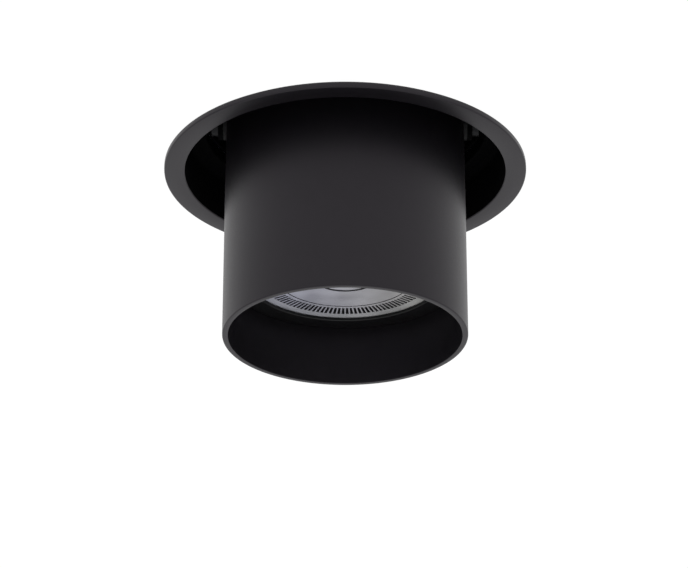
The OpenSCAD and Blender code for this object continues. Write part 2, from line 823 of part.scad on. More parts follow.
// Coned disc spring that keeps the swivel stiff
module disc_spring() {
    in_r = nipple_r + 0.2;
    out_r = nipple_head_r - 0.2;
    top = disc_spring_z + disc_spring_h;
    color(spring_steel) rotate_extrude() polygon([
        [in_r, disc_spring_z], [out_r, top - disc_spring_t],
        [out_r, top], [in_r, disc_spring_z + disc_spring_t]
    ]);
}

module fibre_washer() {
    color(fibre) ring(nipple_r + 0.2, fibre_r, can_in_z - fibre_t, can_in_z);
}

// Steel yoke: a bent strip with round arm ends, a hole for the nipple and an upright stop tab
module yoke() {
    mid_x = arm_x + yoke_t / 2;
    mid_z = yoke_z + yoke_t / 2;
    bend = yoke_bend + yoke_t / 2;
    bent = concat(
        [[-mid_x, pivot_z - yoke_arm_w]],
        arc(-mid_x + bend, mid_z - bend, bend, 180, 90),
        arc(mid_x - bend, mid_z - bend, bend, 90, 0),
        [[mid_x, pivot_z - yoke_arm_w]]
    );
    shoulder_z = pivot_z + yoke_arm_w;
    color(coat) difference() {
        union() {
            intersection() {
                rotate([90, 0, 0]) linear_extrude(yoke_top_w, center = true) polygon(sheet(bent, yoke_t));
                rotate([90, 0, 90]) linear_extrude(2 * can_in_r, center = true) {
                    translate([0, pivot_z]) circle(r = yoke_arm_w / 2);
                    polygon([
                        [-yoke_arm_w / 2 + eps, pivot_z], [yoke_arm_w / 2 - eps, pivot_z],
                        [yoke_arm_w / 2 - eps, shoulder_z], [yoke_top_w / 2, shoulder_z + yoke_arm_w],
                        [yoke_top_w / 2, yoke_top_z + 1], [-yoke_top_w / 2, yoke_top_z + 1],
                        [-yoke_top_w / 2, shoulder_z + yoke_arm_w], [-yoke_arm_w / 2 + eps, shoulder_z]
                    ]);
                }
            }
            translate([stop_r - yoke_t / 2, -stop_w / 2, yoke_top_z - eps])
                cube([yoke_t, stop_w, stop_tab_h - face_gap]);
        }
        translate([0, 0, pivot_z]) rod_x(shoulder_r + run_gap, -can_in_r, can_in_r);
        rod(nipple_r + run_gap, yoke_z - 1, yoke_top_z + 1);
        translate([earth_x, 0, 0]) rod(screw_r + joint_gap, yoke_z - 1, yoke_top_z + 1);
    }
}

// Earth screw under the yoke's crosspiece, its point held in the sheet
module earth_screw() {
    color(brass) translate([earth_x, 0, yoke_z]) mirror([0, 0, 1]) small_screw(yoke_t);
}

// ---- Tilting head ----

// Turned tube, open at the bottom
module tube() {
    profile = concat(
        arc(tube_r - tube_edge, rim_z + tube_edge, tube_edge, -90, 0, 3),
        arc(tube_r - tube_edge, tube_top_z - tube_edge, tube_edge, 0, 90, 3),
        arc(tube_in_r + tube_edge, tube_top_z - tube_edge, tube_edge, 90, 180, 3),
        arc(tube_in_r + tube_edge, rim_z + tube_edge, tube_edge, 180, 270, 3)
    );
    color(coat) difference() {
        rotate_extrude() polygon(profile);
        translate([0, 0, pivot_z]) rod_x(insert_neck_r + joint_gap, -tube_r - 1, tube_r + 1);
        cap_rivet_places() rod_x(rivet_r + joint_gap, -tube_wall - 1, 1);
    }
}

// Three places on the tube's wall near its top, pointing outwards
module cap_rivet_places() {
    for (a = [90, 210, 330]) rotate([0, 0, a]) translate([tube_r, 0, cap_rivet_z]) children();
}

// Pressed cap inside the tube's top, with a window for the lampholder and vent slots
module tube_cap() {
    color(zinc) difference() {
        union() {
            rod(cap_out_r, cap_z, cap_z + bracket_t);
            ring(cap_out_r - cap_wall, cap_out_r, cap_z, cap_z + bracket_t + cap_rim_h);
        }
        translate([0, 0, cap_z - 1]) linear_extrude(bracket_t + 2) {
            holder_outline(holder_side_gap);
            circle(r = lamp_cap_r + holder_side_gap);
        }
        for (side = [-1, 1]) translate([side * bracket_screw_x, 0, 0])
            rod(screw_r + joint_gap, cap_z - 1, cap_z + bracket_t + 1);
        for (a = [50:20:130], side = [0, 180]) rotate([0, 0, a + side])
            translate([vent_r, 0, cap_z - 1]) linear_extrude(bracket_t + 2) round_slot(vent_half_l, vent_half_w);
        cap_rivet_places() rod_x(rivet_r + joint_gap, -tube_wall - 3, 0);
    }
}

module cap_rivets() {
    inside = cap_out_r - cap_wall - tube_r;
    color(zinc) cap_rivet_places() {
        rod_x(rivet_r, inside - rivet_head_t, rivet_head_t);
        rod_x(rivet_head_r, 0, rivet_head_t);
        rod_x(rivet_head_r, inside - rivet_head_t, inside - 0.06);
    }
}

// Threaded inserts in the tube's wall, each flange curved to sit inside the tube
module pivot_inserts() {
    color(zinc) both_sides() difference() {
        union() {
            intersection() {
                translate([0, 0, pivot_z]) rod_x(insert_flange_r, tube_in_r - insert_flange_t, tube_r);
                rod(tube_in_r, pivot_z - 10, pivot_z + 10, $fn = fine_fn);
            }
            intersection() {
                translate([0, 0, pivot_z]) rod_x(insert_neck_r, tube_in_r - insert_flange_t, tube_r);
                rod(tube_r - joint_gap, pivot_z - 10, pivot_z + 10, $fn = fine_fn);
            }
        }
        translate([0, 0, pivot_z]) rod_x(pivot_thread_r + joint_gap, tube_in_r - 5, tube_r + 1);
    }
}

// Shouldered screws that the yoke's arms turn on, with a hexagon socket
module pivot_screws() {
    socket_r = 1.5;
    color(coat) both_sides() translate([0, 0, pivot_z]) difference() {
        union() {
            rod_x(pivot_head_r, pivot_head_x, pivot_head_x + pivot_head_t);
            rod_x(shoulder_r, tube_r + joint_gap, pivot_head_x + eps);
            rod_x(pivot_thread_r, tube_in_r - insert_flange_t - 0.5, tube_r + 1);
        }
        translate([pivot_head_x + 0.5, 0, 0]) rotate([0, 90, 0])
            cylinder(r = socket_r, h = pivot_head_t, $fn = 6);
    }
}

// Nylon washers, hollowed on the inside to sit on the round tube
module saddle_washers() {
    color(plastic) both_sides() difference() {
        translate([0, 0, pivot_z]) rod_x(saddle_r, tube_r - 1, saddle_x);
        rod(tube_r, pivot_z - 10, pivot_z + 10, $fn = fine_fn);
        translate([0, 0, pivot_z]) rod_x(shoulder_r + joint_gap, tube_r - 2, saddle_x + 1);
    }
}

// Hat-shaped bracket over the lampholder, its feet on the tube's cap
module holder_bracket() {
    mid_x = bracket_in_x + bracket_t / 2;
    top = holder_top_z + bracket_t / 2;
    foot = cap_z + bracket_t * 1.5;
    hat = [
        [-bracket_in_x - bracket_foot, foot], [-mid_x, foot], [-mid_x, top],
        [mid_x, top], [mid_x, foot], [bracket_in_x + bracket_foot, foot]
    ];
    color(zinc) difference() {
        rotate([90, 0, 0]) linear_extrude(bracket_w, center = true) polygon(sheet(hat, bracket_t));
        for (side = [-1, 1]) {
            translate([side * bracket_screw_x, 0, 0]) rod(screw_r + joint_gap, foot - 2, foot + 2);
            translate([side * holder_screw_x, 0, 0]) rod(screw_r + joint_gap, top - 2, top + 2);
        }
        rod(3, top - 2, top + 2);
    }
}

module bracket_screws() {
    color(zinc) both_sides() translate([bracket_screw_x, 0, cap_z + 2 * bracket_t])
        small_screw(2 * bracket_t + 1);
}

// Outline of the lampholder seen from below, grown by a clearance
module holder_outline(grow) {
    r = holder_w / 2;
    round_slot(holder_l / 2 - r, r + grow);
}

// A band of the circle that the contact pins turn on, between two angles
module pin_band(half_w, z0, z1) {
    for (side = [0, 180])
        rotate([0, 0, side]) rotate_extrude(angle = twist_angle)
            translate([pin_pitch / 2 - half_w, z0]) square([2 * half_w, z1 - z0]);
}

// Ceramic lampholder: keyhole slots in its face lead into a round contact chamber
module lampholder() {
    slot_gap = 0.3;
    chamber_z = holder_z + holder_face_t;
    color(ceramic) difference() {
        translate([0, 0, holder_z]) linear_extrude(holder_h) holder_outline(0);
        ring(pin_pitch / 2 - pin_head_r - slot_gap, pin_pitch / 2 + pin_head_r + 0.5,
            chamber_z, chamber_z + chamber_h);
        pin_band(pin_r + slot_gap, holder_z - 1, chamber_z + 1);
        both_sides() {
            translate([pin_pitch / 2, 0, 0]) rod(pin_r + slot_gap, holder_z - 1, chamber_z + 1);
            rotate([0, 0, twist_angle]) translate([pin_pitch / 2, 0, 0])
                rod(pin_head_r + slot_gap, holder_z - 1, chamber_z + 1);
            translate([holder_screw_x, 0, 0]) rod(screw_r + joint_gap, holder_top_z - holder_screw_hole, holder_top_z + 1);
        }
        for (side = [-1, 1]) translate([0, side * 5, 0]) rod(1.4, chamber_z + 1, holder_top_z + 1);
    }
}

// Curved contact strips on the roof of the holder's chamber
module holder_contacts() {
    roof_z = holder_z + holder_face_t + chamber_h;
    color(brass) for (side = [0, 180])
        rotate([0, 0, side - 25]) rotate_extrude(angle = 50)
            translate([(pin_pitch - contact_w) / 2, roof_z - contact_t]) square([contact_w, contact_t]);
}

module holder_screws() {
    color(zinc) both_sides() translate([holder_screw_x, 0, holder_top_z + bracket_t])
        small_screw(holder_screw_l);
}

// Black ring pushed into the tube's mouth, its lip over the edge of the lamp's face
module retaining_ring() {
    out_r = tube_in_r - run_gap - 0.01;
    soft = 0.3;
    color(plastic) rotate_extrude() polygon([
        [ring_in_r, ring_z + soft], [ring_in_r + soft, ring_z],
        [out_r - soft, ring_z], [out_r, ring_z + soft],
        [out_r, ring_z + ring_h], [out_r - ring_wall, ring_z + ring_h],
        [out_r - ring_wall, ring_z + ring_lip_t], [ring_in_r, ring_z + ring_lip_t]
    ]);
}

// ---- Lamp ----

// Outside radius of the shell's taper at height z
function taper(z) = shell_r + (shell_neck_r - shell_r) * (z - rim_top_z) / (shell_neck_z - rim_top_z);

// Die-cast shell: front rim, tapered body with cooling ribs, and a floor that carries the board
module lamp_shell() {
    floor_top_z = shell_floor_z + shell_floor_t;
    outside = [
        [lamp_r - 0.3, lamp_z], [lamp_r, lamp_z + 0.3],
        [lamp_r, rim_top_z - 0.5], [lamp_r - 0.5, rim_top_z],
        [shell_r, rim_top_z], [shell_neck_r, shell_neck_z], [shell_neck_r, lamp_cap_z]
    ];
    color([0.85, 0.85, 0.86]) difference() {
        union() {
            rotate_extrude() polygon(concat([[0, lamp_z]], outside, [[0, lamp_cap_z]]));
            for (i = [0:lamp_rib_n - 1])
                rotate([0, 0, 360 * (i + 0.5) / lamp_rib_n]) rotate([90, 0, 0])
                    linear_extrude(lamp_rib_t, center = true) polygon([
                        [shell_r - 1, rim_top_z - 1], [shell_r + lamp_rib_h, rim_top_z - 1],
                        [taper(shell_neck_z - 6) + lamp_rib_h, shell_neck_z - 6],
                        [taper(shell_neck_z - 3) - 0.5, shell_neck_z - 3]
                    ]);
        }
        rotate_extrude() polygon([
            [0, lamp_z - 1], [lamp_r - 0.6, lamp_z - 1], [lamp_r - 0.6, lamp_z + lens_t],
            [shell_r - lamp_wall, lamp_z + lens_t], [shell_r - lamp_wall, rim_top_z],
            [taper(shell_floor_z) - lamp_wall, shell_floor_z], [0, shell_floor_z]
        ]);
        rotate_extrude() polygon([
            [0, floor_top_z], [taper(floor_top_z) - lamp_wall, floor_top_z],
            [shell_neck_r - lamp_wall, shell_neck_z], [shell_neck_r - lamp_wall, lamp_cap_z + 1],
            [0, lamp_cap_z + 1]
        ]);
        rod(2.5, shell_floor_z - 1, floor_top_z + 1);
    }
}

// Moulded two-pin cap
module lamp_cap() {
    step_h = 3.5;
    color(ceramic) difference() {
        rotate_extrude() polygon([
            [0, lamp_cap_z], [lamp_cap_r, lamp_cap_z], [lamp_cap_r, lamp_cap_top_z - step_h],
            [lamp_cap_r - 1.5, lamp_cap_top_z - step_h + 0.8], [lamp_cap_r - 1.5, lamp_cap_top_z - 0.4],
            [lamp_cap_r - 1.9, lamp_cap_top_z], [0, lamp_cap_top_z]
        ]);
        both_sides() translate([pin_pitch / 2, 0, 0]) rod(pin_r, lamp_cap_top_z - 4, lamp_cap_top_z + 1);
    }
}

// Two contact pins with wider heads
module lamp_pins() {
    top = lamp_cap_top_z + pin_len;
    color(zinc) both_sides() translate([pin_pitch / 2, 0, 0]) {
        rod(pin_r, lamp_cap_top_z - 4, top - pin_head_h + eps);
        rotate_extrude() polygon([
            [0, top - pin_head_h], [pin_head_r, top - pin_head_h], [pin_head_r, top - 0.5],
            [pin_head_r - 0.5, top], [0, top]
        ]);
    }
}

// Outline of the ring of ribs: a crown whose teeth are the ribs
function rib_crown() = [
    for (i = [0:rib_n - 1], k = [[-0.25, 0], [-0.25, 1], [0.25, 1], [0.25, 0]])
        let (a = 360 * (i + k[0]) / rib_n, r = k[1] == 1 ? rib_out_r : rib_in_r + 0.1)
        [r * cos(a), r * sin(a)]
];

// Clear lens: front plate with a dish, a ring of fine radial ribs, and a collimator behind it
module lamp_lens() {
    back_z = lamp_z + lens_t;
    source_r = 4.6;
    color([0.75, 0.77, 0.8, 0.6]) union() {
        rotate_extrude() polygon([
            [0, lamp_z + dish_depth], [dish_r - dish_depth, lamp_z + dish_depth], [dish_r, lamp_z],
            [lamp_r - 0.65, lamp_z], [lamp_r - 0.65, back_z], [collimator_r, back_z],
            [(collimator_r + collimator_back_r) / 2 + 1.2, back_z + collimator_h * 0.5],
            [collimator_back_r, back_z + collimator_h], [source_r, back_z + collimator_h],
            [source_r - 0.4, back_z + collimator_h - 4.6], [0, back_z + collimator_h - 5.6]
        ]);
        translate([0, 0, back_z - eps]) linear_extrude(rib_h + eps) difference() {
            polygon(rib_crown());
            circle(r = rib_in_r);
        }
    }
}

module led_board() {
    board_r = taper(shell_floor_z) - lamp_wall - 0.1;
    color([0.9, 0.9, 0.9]) difference() {
        rod(board_r, board_z, shell_floor_z);
        for (side = [-1, 1]) translate([0, side * (board_r - board_hole_in), 0])
            rod(board_hole_r, board_z - 1, board_z + board_t + 1);
    }
}

module led_chip() {
    color([0.95, 0.8, 0.25]) rod(4.2, board_z - 0.8, board_z);
}

// Driver board with its capacitor and coil, standing on the shell's floor
module lamp_driver() {
    z = shell_floor_z + shell_floor_t;
    part_z = z + driver_part_up;
    color([0.2, 0.4, 0.25]) {
        translate([-driver_w / 2, -driver_t / 2, z]) cube([driver_w, driver_t, driver_h]);
        translate([-driver_w / 5, 0.1 - driver_t / 2 - capacitor_r, 0])
            rod(capacitor_r, part_z, part_z + capacitor_h);
        translate([driver_w / 12, driver_t / 2 - eps, part_z]) cube([coil_w, coil_d, coil_h]);
    }
}

// ---- Terminal box ----

module box_plan(inset) {
    half_w = box_w / 2 - inset;
    round_rect(box_x0 + inset, -half_w, box_x1 - inset, half_w, box_corner - inset / 2);
}

// Turns the box and what is on it, so that the gland points along +Y, clear of the clips
module box_turn() {
    rotate([0, 0, 90]) children();
}

// The lid's two screws, at opposite corners, each with its corner towards -X and -Y
module lid_screw_places() {
    translate([box_x0 + boss_in, -box_w / 2 + boss_in, 0]) children();
    translate([box_x1 - boss_in, box_w / 2 - boss_in, 0]) rotate([0, 0, 180]) children();
}

// Moulded box on top of the can, open at the top
module terminal_box() {
    color(plastic) box_turn() difference() {
        union() {
            difference() {
                translate([0, 0, box_z]) linear_extrude(box_h) box_plan(0);
                translate([0, 0, box_floor_z]) linear_extrude(box_h) box_plan(box_wall);
            }
            intersection() {
                lid_screw_places() {
                    rod(boss_r, box_floor_z - eps, lid_z);
                    for (a = [0, 90]) rotate([0, 0, a]) translate([-boss_in, -boss_web / 2, box_z + 1])
                        cube([boss_in, boss_web, box_h - 1]);
                }
                translate([0, 0, box_z]) linear_extrude(box_h) box_plan(0.5);
            }
        }
        lid_screw_places() rod(screw_r + joint_gap, lid_z - boss_hole - 2, lid_z + 1);
        rod(nipple_r + joint_gap, box_z - 1, box_floor_z + 1);
        translate([box_x1, 0, gland_z]) rod_x(gland_r + joint_gap, -box_wall - 1, 1);
    }
}

module terminal_lid() {
    lip = 1.2;
    fit = 0.15;
    color(plastic) box_turn() difference() {
        union() {
            translate([0, 0, lid_z]) linear_extrude(lid_t) box_plan(0);
            translate([0, 0, lid_z - lip]) linear_extrude(lip + eps) difference() {
                box_plan(box_wall + fit);
                box_plan(box_wall + fit + 1.2);
            }
        }
        lid_screw_places() {
            rod(boss_r + 1.4, lid_z - lip - 1, lid_z);
            rod(screw_r + screw_gap, lid_z - 1, lid_z + lid_t + 1);
        }
        translate([box_x1 - 2 * box_wall - locknut_t, -gland_corner_r, lid_z - lip - 1])
            cube([2 * box_wall + locknut_t, 2 * gland_corner_r, lip + 1]);
    }
}

module lid_screws() {
    color(zinc) box_turn() lid_screw_places() translate([0, 0, lid_z + lid_t])
        small_screw(lid_t + boss_hole);
}

// Moulded terminal block: one round-topped barrel for each pole on a common foot
module terminal_block() {
    z = box_floor_z;
    half_w = pole_n * pole_pitch / 2;
    color([0.85, 0.85, 0.82]) box_turn() difference() {
        union() {
            translate([block_x, -half_w, z]) cube([block_l, 2 * half_w, block_h - 4]);
            for (i = [0:pole_n - 1])
                translate([block_x + block_l / 2, -half_w + (i + 0.5) * pole_pitch, 0])
                    rod(pole_pitch / 2 - 0.35, z, z + block_h);
        }
        on_poles() {
            rod_x(clamp_r, -block_l, block_l);
            rod(screw_r + 0.3, 0, block_h);
        }
    }
}

// The middle of each pole's clamp
module on_poles() {
    for (i = [0:pole_n - 1])
        translate([block_x + block_l / 2, (i + 0.5 - pole_n / 2) * pole_pitch, box_floor_z + clamp_up])
            children();
}

// Brass clamp tubes with their screws
module terminal_clamps() {
    color(brass) box_turn() on_poles() difference() {
        union() {
            rod_x(clamp_r, -block_l / 2 + clamp_in, block_l / 2 - clamp_in);
            rod(screw_r, 0, clamp_screw_h);
        }
        rod_x(clamp_r - clamp_wall, -block_l, -0.5);
        rod_x(clamp_r - clamp_wall, 2, block_l);
        translate([-2, -0.3, clamp_screw_h - 0.7]) cube([4, 0.6, 2]);
    }
}

// ---- Cable gland ----

// Places its children at the box's wall, with their +X out along the gland
module at_gland() {
    box_turn() translate([box_x1, 0, gland_z]) children();
}

module gland_body() {
    tail = box_wall + 4;
    color(plastic) at_gland() difference() {
        union() {
            rotate([0, 90, 0]) cylinder(r = gland_corner_r, h = gland_collar_l, $fn = 6);
            rod_x(gland_r, -tail, gland_collar_l + gland_thread_l);
        }
        rod_x(gland_seal_r + 0.9, -tail - 1, gland_collar_l + gland_thread_l + 1);
    }
}

module gland_locknut() {
    color(plastic) at_gland() difference() {
        translate([-box_wall - locknut_t, 0, 0]) rotate([0, 90, 0])
            cylinder(r = gland_corner_r - 0.6, h = locknut_t, $fn = 6);
        rod_x(gland_r + joint_gap, -box_wall - 5, 1);
    }
}

// Domed nut with flats at its root
module gland_nut() {
    x0 = gland_collar_l + 0.4;
    x1 = x0 + gland_nut_l;
    skirt_x = x0 + gland_nut_flat_l;
    color(plastic) at_gland() difference() {
        union() {
            translate([x0, 0, 0]) rotate([0, 90, 0])
                cylinder(r = gland_corner_r - 0.3, h = gland_nut_flat_l, $fn = 6);
            rotate([0, 90, 0]) rotate_extrude() polygon(concat(
                [[0, x0], [gland_r + 1, x0], [gland_r + 1, skirt_x + 0.5]],
                arc(gland_r - 2, skirt_x + 1.5, 3, 0, 80), [[0, x1]]
            ));
        }
        rod_x(gland_mouth_r, x0 - 1, x1 + 1);
        rod_x(gland_r + joint_gap, x0 - 1, skirt_x + 2);
    }
}

module gland_seal() {
    color(rubber) at_gland() difference() {
        rod_x(gland_seal_r + 0.85, gland_collar_l - 0.5, gland_collar_l - 0.5 + gland_seal_l);
        rod_x(gland_seal_r, 0, gland_collar_l + gland_seal_l + 1);
    }
}

trim_ring();
soffit_gasket();
can();
can_seal();
can_screws();
clip_bracket_left();
clip_bracket_right();
clip_rivets();
clip_pin_left();
clip_pin_right();
clip_arm_left();
clip_arm_right();
clip_spring_left();
clip_spring_right();
clip_sleeve_left();
clip_sleeve_right();
swivel_nipple();
nipple_nut();
disc_spring();
fibre_washer();
terminal_box();
terminal_lid();
lid_screws();
terminal_block();
terminal_clamps();
gland_body();
gland_nut();
gland_seal();
gland_locknut();
yoke();
earth_screw();
tube();
tube_cap();
cap_rivets();
pivot_inserts();
pivot_screws();
saddle_washers();
holder_bracket();
bracket_screws();
lampholder();
holder_contacts();
holder_screws();
retaining_ring();
lamp_shell();
lamp_cap();
lamp_pins();
lamp_lens();
led_board();
led_chip();
lamp_driver();
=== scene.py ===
# %% [markdown]
# # A black soffit downlight
# The light hangs in a round hole in a soffit. Below the soffit we see a slim trim ring and a tube that
# projects from it; above are the can, the spring clips and the terminal box. The solids come from the CAD
# frame in metres, so everything added here is placed by the frame's own numbers.

# %% Load the frame
import json
import math
import bpy
from mathutils import Matrix, Vector


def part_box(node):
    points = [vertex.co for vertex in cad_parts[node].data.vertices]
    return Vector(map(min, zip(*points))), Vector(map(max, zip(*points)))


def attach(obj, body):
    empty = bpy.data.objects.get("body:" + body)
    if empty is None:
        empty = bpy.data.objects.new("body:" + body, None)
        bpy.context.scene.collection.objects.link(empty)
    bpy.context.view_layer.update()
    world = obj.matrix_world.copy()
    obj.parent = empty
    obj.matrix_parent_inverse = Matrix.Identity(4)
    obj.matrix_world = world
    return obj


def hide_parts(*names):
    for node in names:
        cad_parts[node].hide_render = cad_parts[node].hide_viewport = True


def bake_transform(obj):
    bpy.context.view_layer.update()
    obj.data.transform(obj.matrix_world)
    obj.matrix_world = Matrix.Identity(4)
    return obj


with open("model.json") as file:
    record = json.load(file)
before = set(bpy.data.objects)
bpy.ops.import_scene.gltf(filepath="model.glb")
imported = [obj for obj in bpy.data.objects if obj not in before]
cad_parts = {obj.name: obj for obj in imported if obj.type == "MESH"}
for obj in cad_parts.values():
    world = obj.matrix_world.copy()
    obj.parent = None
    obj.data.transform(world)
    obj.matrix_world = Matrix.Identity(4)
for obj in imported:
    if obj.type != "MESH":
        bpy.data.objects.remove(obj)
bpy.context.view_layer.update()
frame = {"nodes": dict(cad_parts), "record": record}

# %% [markdown]
# ## Sizes
# Every new piece sits on the solids, so its outer sizes are read from the solids' boxes. A size that no box
# shows, such as a wall, is named here. Lengths are kept in millimetres, as a maker writes them, and turned
# into metres where a mesh is made.

# %% Sizes from the solids, in millimetres
MM = 0.001


def reach(node):
    low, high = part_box(node)
    return low / MM, high / MM


tube_low, tube_high = reach("tube")
trim_low, trim_high = reach("trim_ring")
can_low, can_high = reach("can")
tube_r, tube_wall = tube_high.x, 1.4
flange_z, flange_r = trim_low.z, trim_high.x
opening_r, spigot_r = tube_r + 10.05, tube_r + 11.55
ledge_r, can_r = 35.183, 35.783
can_sheet = 1.0
print("tube radius", round(tube_r, 2), "flange at z", round(flange_z, 2), "rim at z", round(tube_low.z, 2))

# %% [markdown]
# ## Camera
# The photograph looks up at the light from 27.4 degrees below the soffit, through a long lens. The camera's
# place was worked out from the ellipses of the flange, the opening and the tube's rim. A tiny sideways
# shift puts the axis of the lens where the photograph has it.

# %% Camera
camera_data = bpy.data.cameras.new("camera")
camera_data.lens = 142.15
camera_data.sensor_width = 36
camera_data.shift_x = -0.0017
camera = bpy.data.objects.new("camera", camera_data)
bpy.context.scene.collection.objects.link(camera)
camera.location = Vector((0, -0.60102, -0.31368))
aim = Vector((0, 0, -0.03193))
camera.rotation_mode = "QUATERNION"
camera.rotation_quaternion = (aim - camera.location).to_track_quat("-Z", "Y")
bpy.context.scene.camera = camera
print("camera distance", round((aim - camera.location).length, 4), "m")

# %% [markdown]
# ## Selecting by hand and in code
# An operator acts on all that is selected, so each piece starts with nothing selected. These helpers do
# what the mouse would: clear the selection, enter and leave edit mode, and merge and turn faces outwards.

# %% Helpers for modelling


def clear_selection():
    if bpy.context.object and bpy.context.object.mode != "OBJECT":
        bpy.ops.object.mode_set(mode="OBJECT")
    bpy.ops.object.select_all(action="DESELECT")


def make_active(piece):
    clear_selection()
    piece.select_set(True)
    bpy.context.view_layer.objects.active = piece


def edit():
    bpy.ops.object.mode_set(mode="EDIT")
    bpy.ops.mesh.select_all(action="SELECT")


def pick(piece, kind, is_there):
    """Selects the points or edges whose place, in millimetres, passes the test, and stays in edit mode."""
    edit()
    bpy.ops.mesh.select_mode(type=kind)
    bpy.ops.mesh.select_all(action="DESELECT")
    bpy.ops.object.mode_set(mode="OBJECT")
    for point in piece.data.vertices if kind == "VERT" else []:
        point.select = is_there(point.co / MM)
    for edge in piece.data.edges if kind == "EDGE" else []:
        edge.select = is_there(*(piece.data.vertices[i].co / MM for i in edge.vertices))
    bpy.ops.object.mode_set(mode="EDIT")


def close_up(piece, smooth=35):
    """Merges doubles, turns the faces outwards, shades smooth and puts the object's origin at the frame's."""
    make_active(piece)
    edit()
    bpy.ops.mesh.remove_doubles(threshold=1e-6)
    bpy.ops.mesh.normals_make_consistent(inside=False)
    bpy.ops.object.mode_set(mode="OBJECT")
    bpy.ops.object.transform_apply(location=True, rotation=True, scale=True)
    bpy.ops.object.shade_smooth_by_angle(angle=math.radians(smooth))
    return piece


# %% [markdown]
# ## Copies and cuts
# Screws, rivets and ribs are alike, so one is modelled at the origin and its copies are set in their places.
# A slot or a recess is cut with a Boolean modifier by a tool that is removed afterwards.

# %% Helpers for copies and cuts


def placed(piece, name, places):
    """Sets a copy of the piece, with its own mesh, at each place and joins the copies."""
    clear_selection()
    for place in places:
        copy = piece.copy()
        copy.data = piece.data.copy()
        copy.data.transform(place)
        bpy.context.scene.collection.objects.link(copy)
        copy.select_set(True)
        bpy.context.view_layer.objects.active = copy
    if len(places) > 1:
        bpy.ops.object.join()
    whole = bpy.context.view_layer.objects.active
    whole.name = whole.data.name = name
    bpy.data.objects.remove(piece)
    return whole


def cut(piece, tool, operation="DIFFERENCE"):
    """Cuts the tool out of the piece, or keeps what both share."""
    make_active(piece)
    boolean = piece.modifiers.new("cut", "BOOLEAN")
    boolean.object = tool
    boolean.operation = operation
    boolean.solver = "EXACT"
    bpy.ops.object.modifier_apply(modifier=boolean.name)
    bpy.data.objects.remove(tool)
    return piece


def soften(piece, width_mm, segments=2, smooth=35):
    """Rounds every edge sharper than 30 degrees."""
    make_active(piece)
    bevel = piece.modifiers.new("edges", "BEVEL")
    bevel.width = width_mm * MM
    bevel.segments = segments
    bevel.limit_method = "ANGLE"
    bevel.angle_limit = math.radians(30)
    bpy.ops.object.modifier_apply(modifier=bevel.name)
    bpy.ops.object.shade_smooth_by_angle(angle=math.radians(smooth))
    weighted = piece.modifiers.new("normals", "WEIGHTED_NORMAL")
    weighted.keep_sharp = True
    bpy.ops.object.modifier_apply(modifier=weighted.name)
    return piece


def block(name, low, high):
    """A cube stretched between two corners in millimetres."""
    clear_selection()
    middle = (Vector(low) + Vector(high)) / 2 * MM
    bpy.ops.mesh.primitive_cube_add(size=1, location=middle)
    piece = bpy.context.object
    piece.name = piece.data.name = name
    edit()
    bpy.ops.transform.resize(value=(Vector(high) - Vector(low)) * MM, center_override=middle)
    return close_up(piece)


# %% [markdown]
# ## Turned pieces
# Rings, tubes and cans are turned or spun on a lathe. In Blender the lathe is Spin: one vertex is drawn out
# point by point into half the outline, and the outline is spun round the axis. Corners get their fillets
# before the spin, because a turned edge is never sharp.

# %% A lathe


def rounded(corners, steps=4):
    """A closed outline from (radius, height, fillet) corners, each fillet drawn as an arc."""
    outline = []
    for i, (x, z, fillet) in enumerate(corners):
        here = Vector((x, z))
        back = Vector(corners[i - 1][:2]) - here
        ahead = Vector(corners[(i + 1) % len(corners)][:2]) - here
        if fillet == 0:
            outline.append(here)
            continue
        half = back.angle(ahead) / 2
        along = min(fillet / math.tan(half), 0.49 * back.length, 0.49 * ahead.length)
        middle = here + (back.normalized() + ahead.normalized()).normalized() * along / math.cos(half)
        start = here + back.normalized() * along - middle
        end = here + ahead.normalized() * along - middle
        sweep = start.angle_signed(end)
        for k in range(steps + 1):
            outline.append(middle + Matrix.Rotation(-sweep * k / steps, 2) @ start)
    return outline


def turned(name, outline, sides=192):
    """Spins a closed outline, in millimetres, into a ring, a tube or a cap round the Z axis."""
    clear_selection()
    first = outline[0]
    bpy.ops.mesh.primitive_plane_add(size=MM, location=(first[0] * MM, 0, first[1] * MM))
    piece = bpy.context.object
    piece.name = piece.data.name = name
    edit()
    bpy.ops.mesh.merge(type="CENTER")
    closed = [*outline[1:], first] if first[0] > 1e-6 else outline[1:]
    here = first
    for point in closed:
        step = ((point[0] - here[0]) * MM, 0, (point[1] - here[1]) * MM)
        bpy.ops.mesh.extrude_region_move(TRANSFORM_OT_translate={"value": step})
        here = point
    bpy.ops.mesh.select_all(action="SELECT")
    bpy.ops.mesh.remove_doubles(threshold=1e-7)
    bpy.ops.mesh.select_all(action="SELECT")
    bpy.ops.mesh.spin(steps=sides, angle=2 * math.pi, center=(0, 0, 0), axis=(0, 0, 1))
    return close_up(piece)


# %% [markdown]
# ## Finishes
# Each finish is a shader with its own grain: noise on Object coordinates changes the colour, the roughness
# and the relief a little, as on a real surface. A noise seldom leaves the middle of its range, so that middle
# is stretched over the change. What is the same all over is set on the shader's own sockets.

# %% Helpers for finishes
finishes = {}
noise_low, noise_high = 0.3, 0.7
patch_grains = 14


def new_finish(name, colour, roughness, metallic=0.0, **sockets):
    finish = bpy.data.materials.new(name)
    finish.use_nodes = True
    shader = finish.node_tree.nodes["Principled BSDF"]
    shader.inputs["Base Color"].default_value = (*colour, 1)
    shader.inputs["Roughness"].default_value = roughness
    shader.inputs["Metallic"].default_value = metallic
    for socket, value in sockets.items():
        shader.inputs[socket.replace("_", " ")].default_value = value
    finishes[name] = finish
    return finish


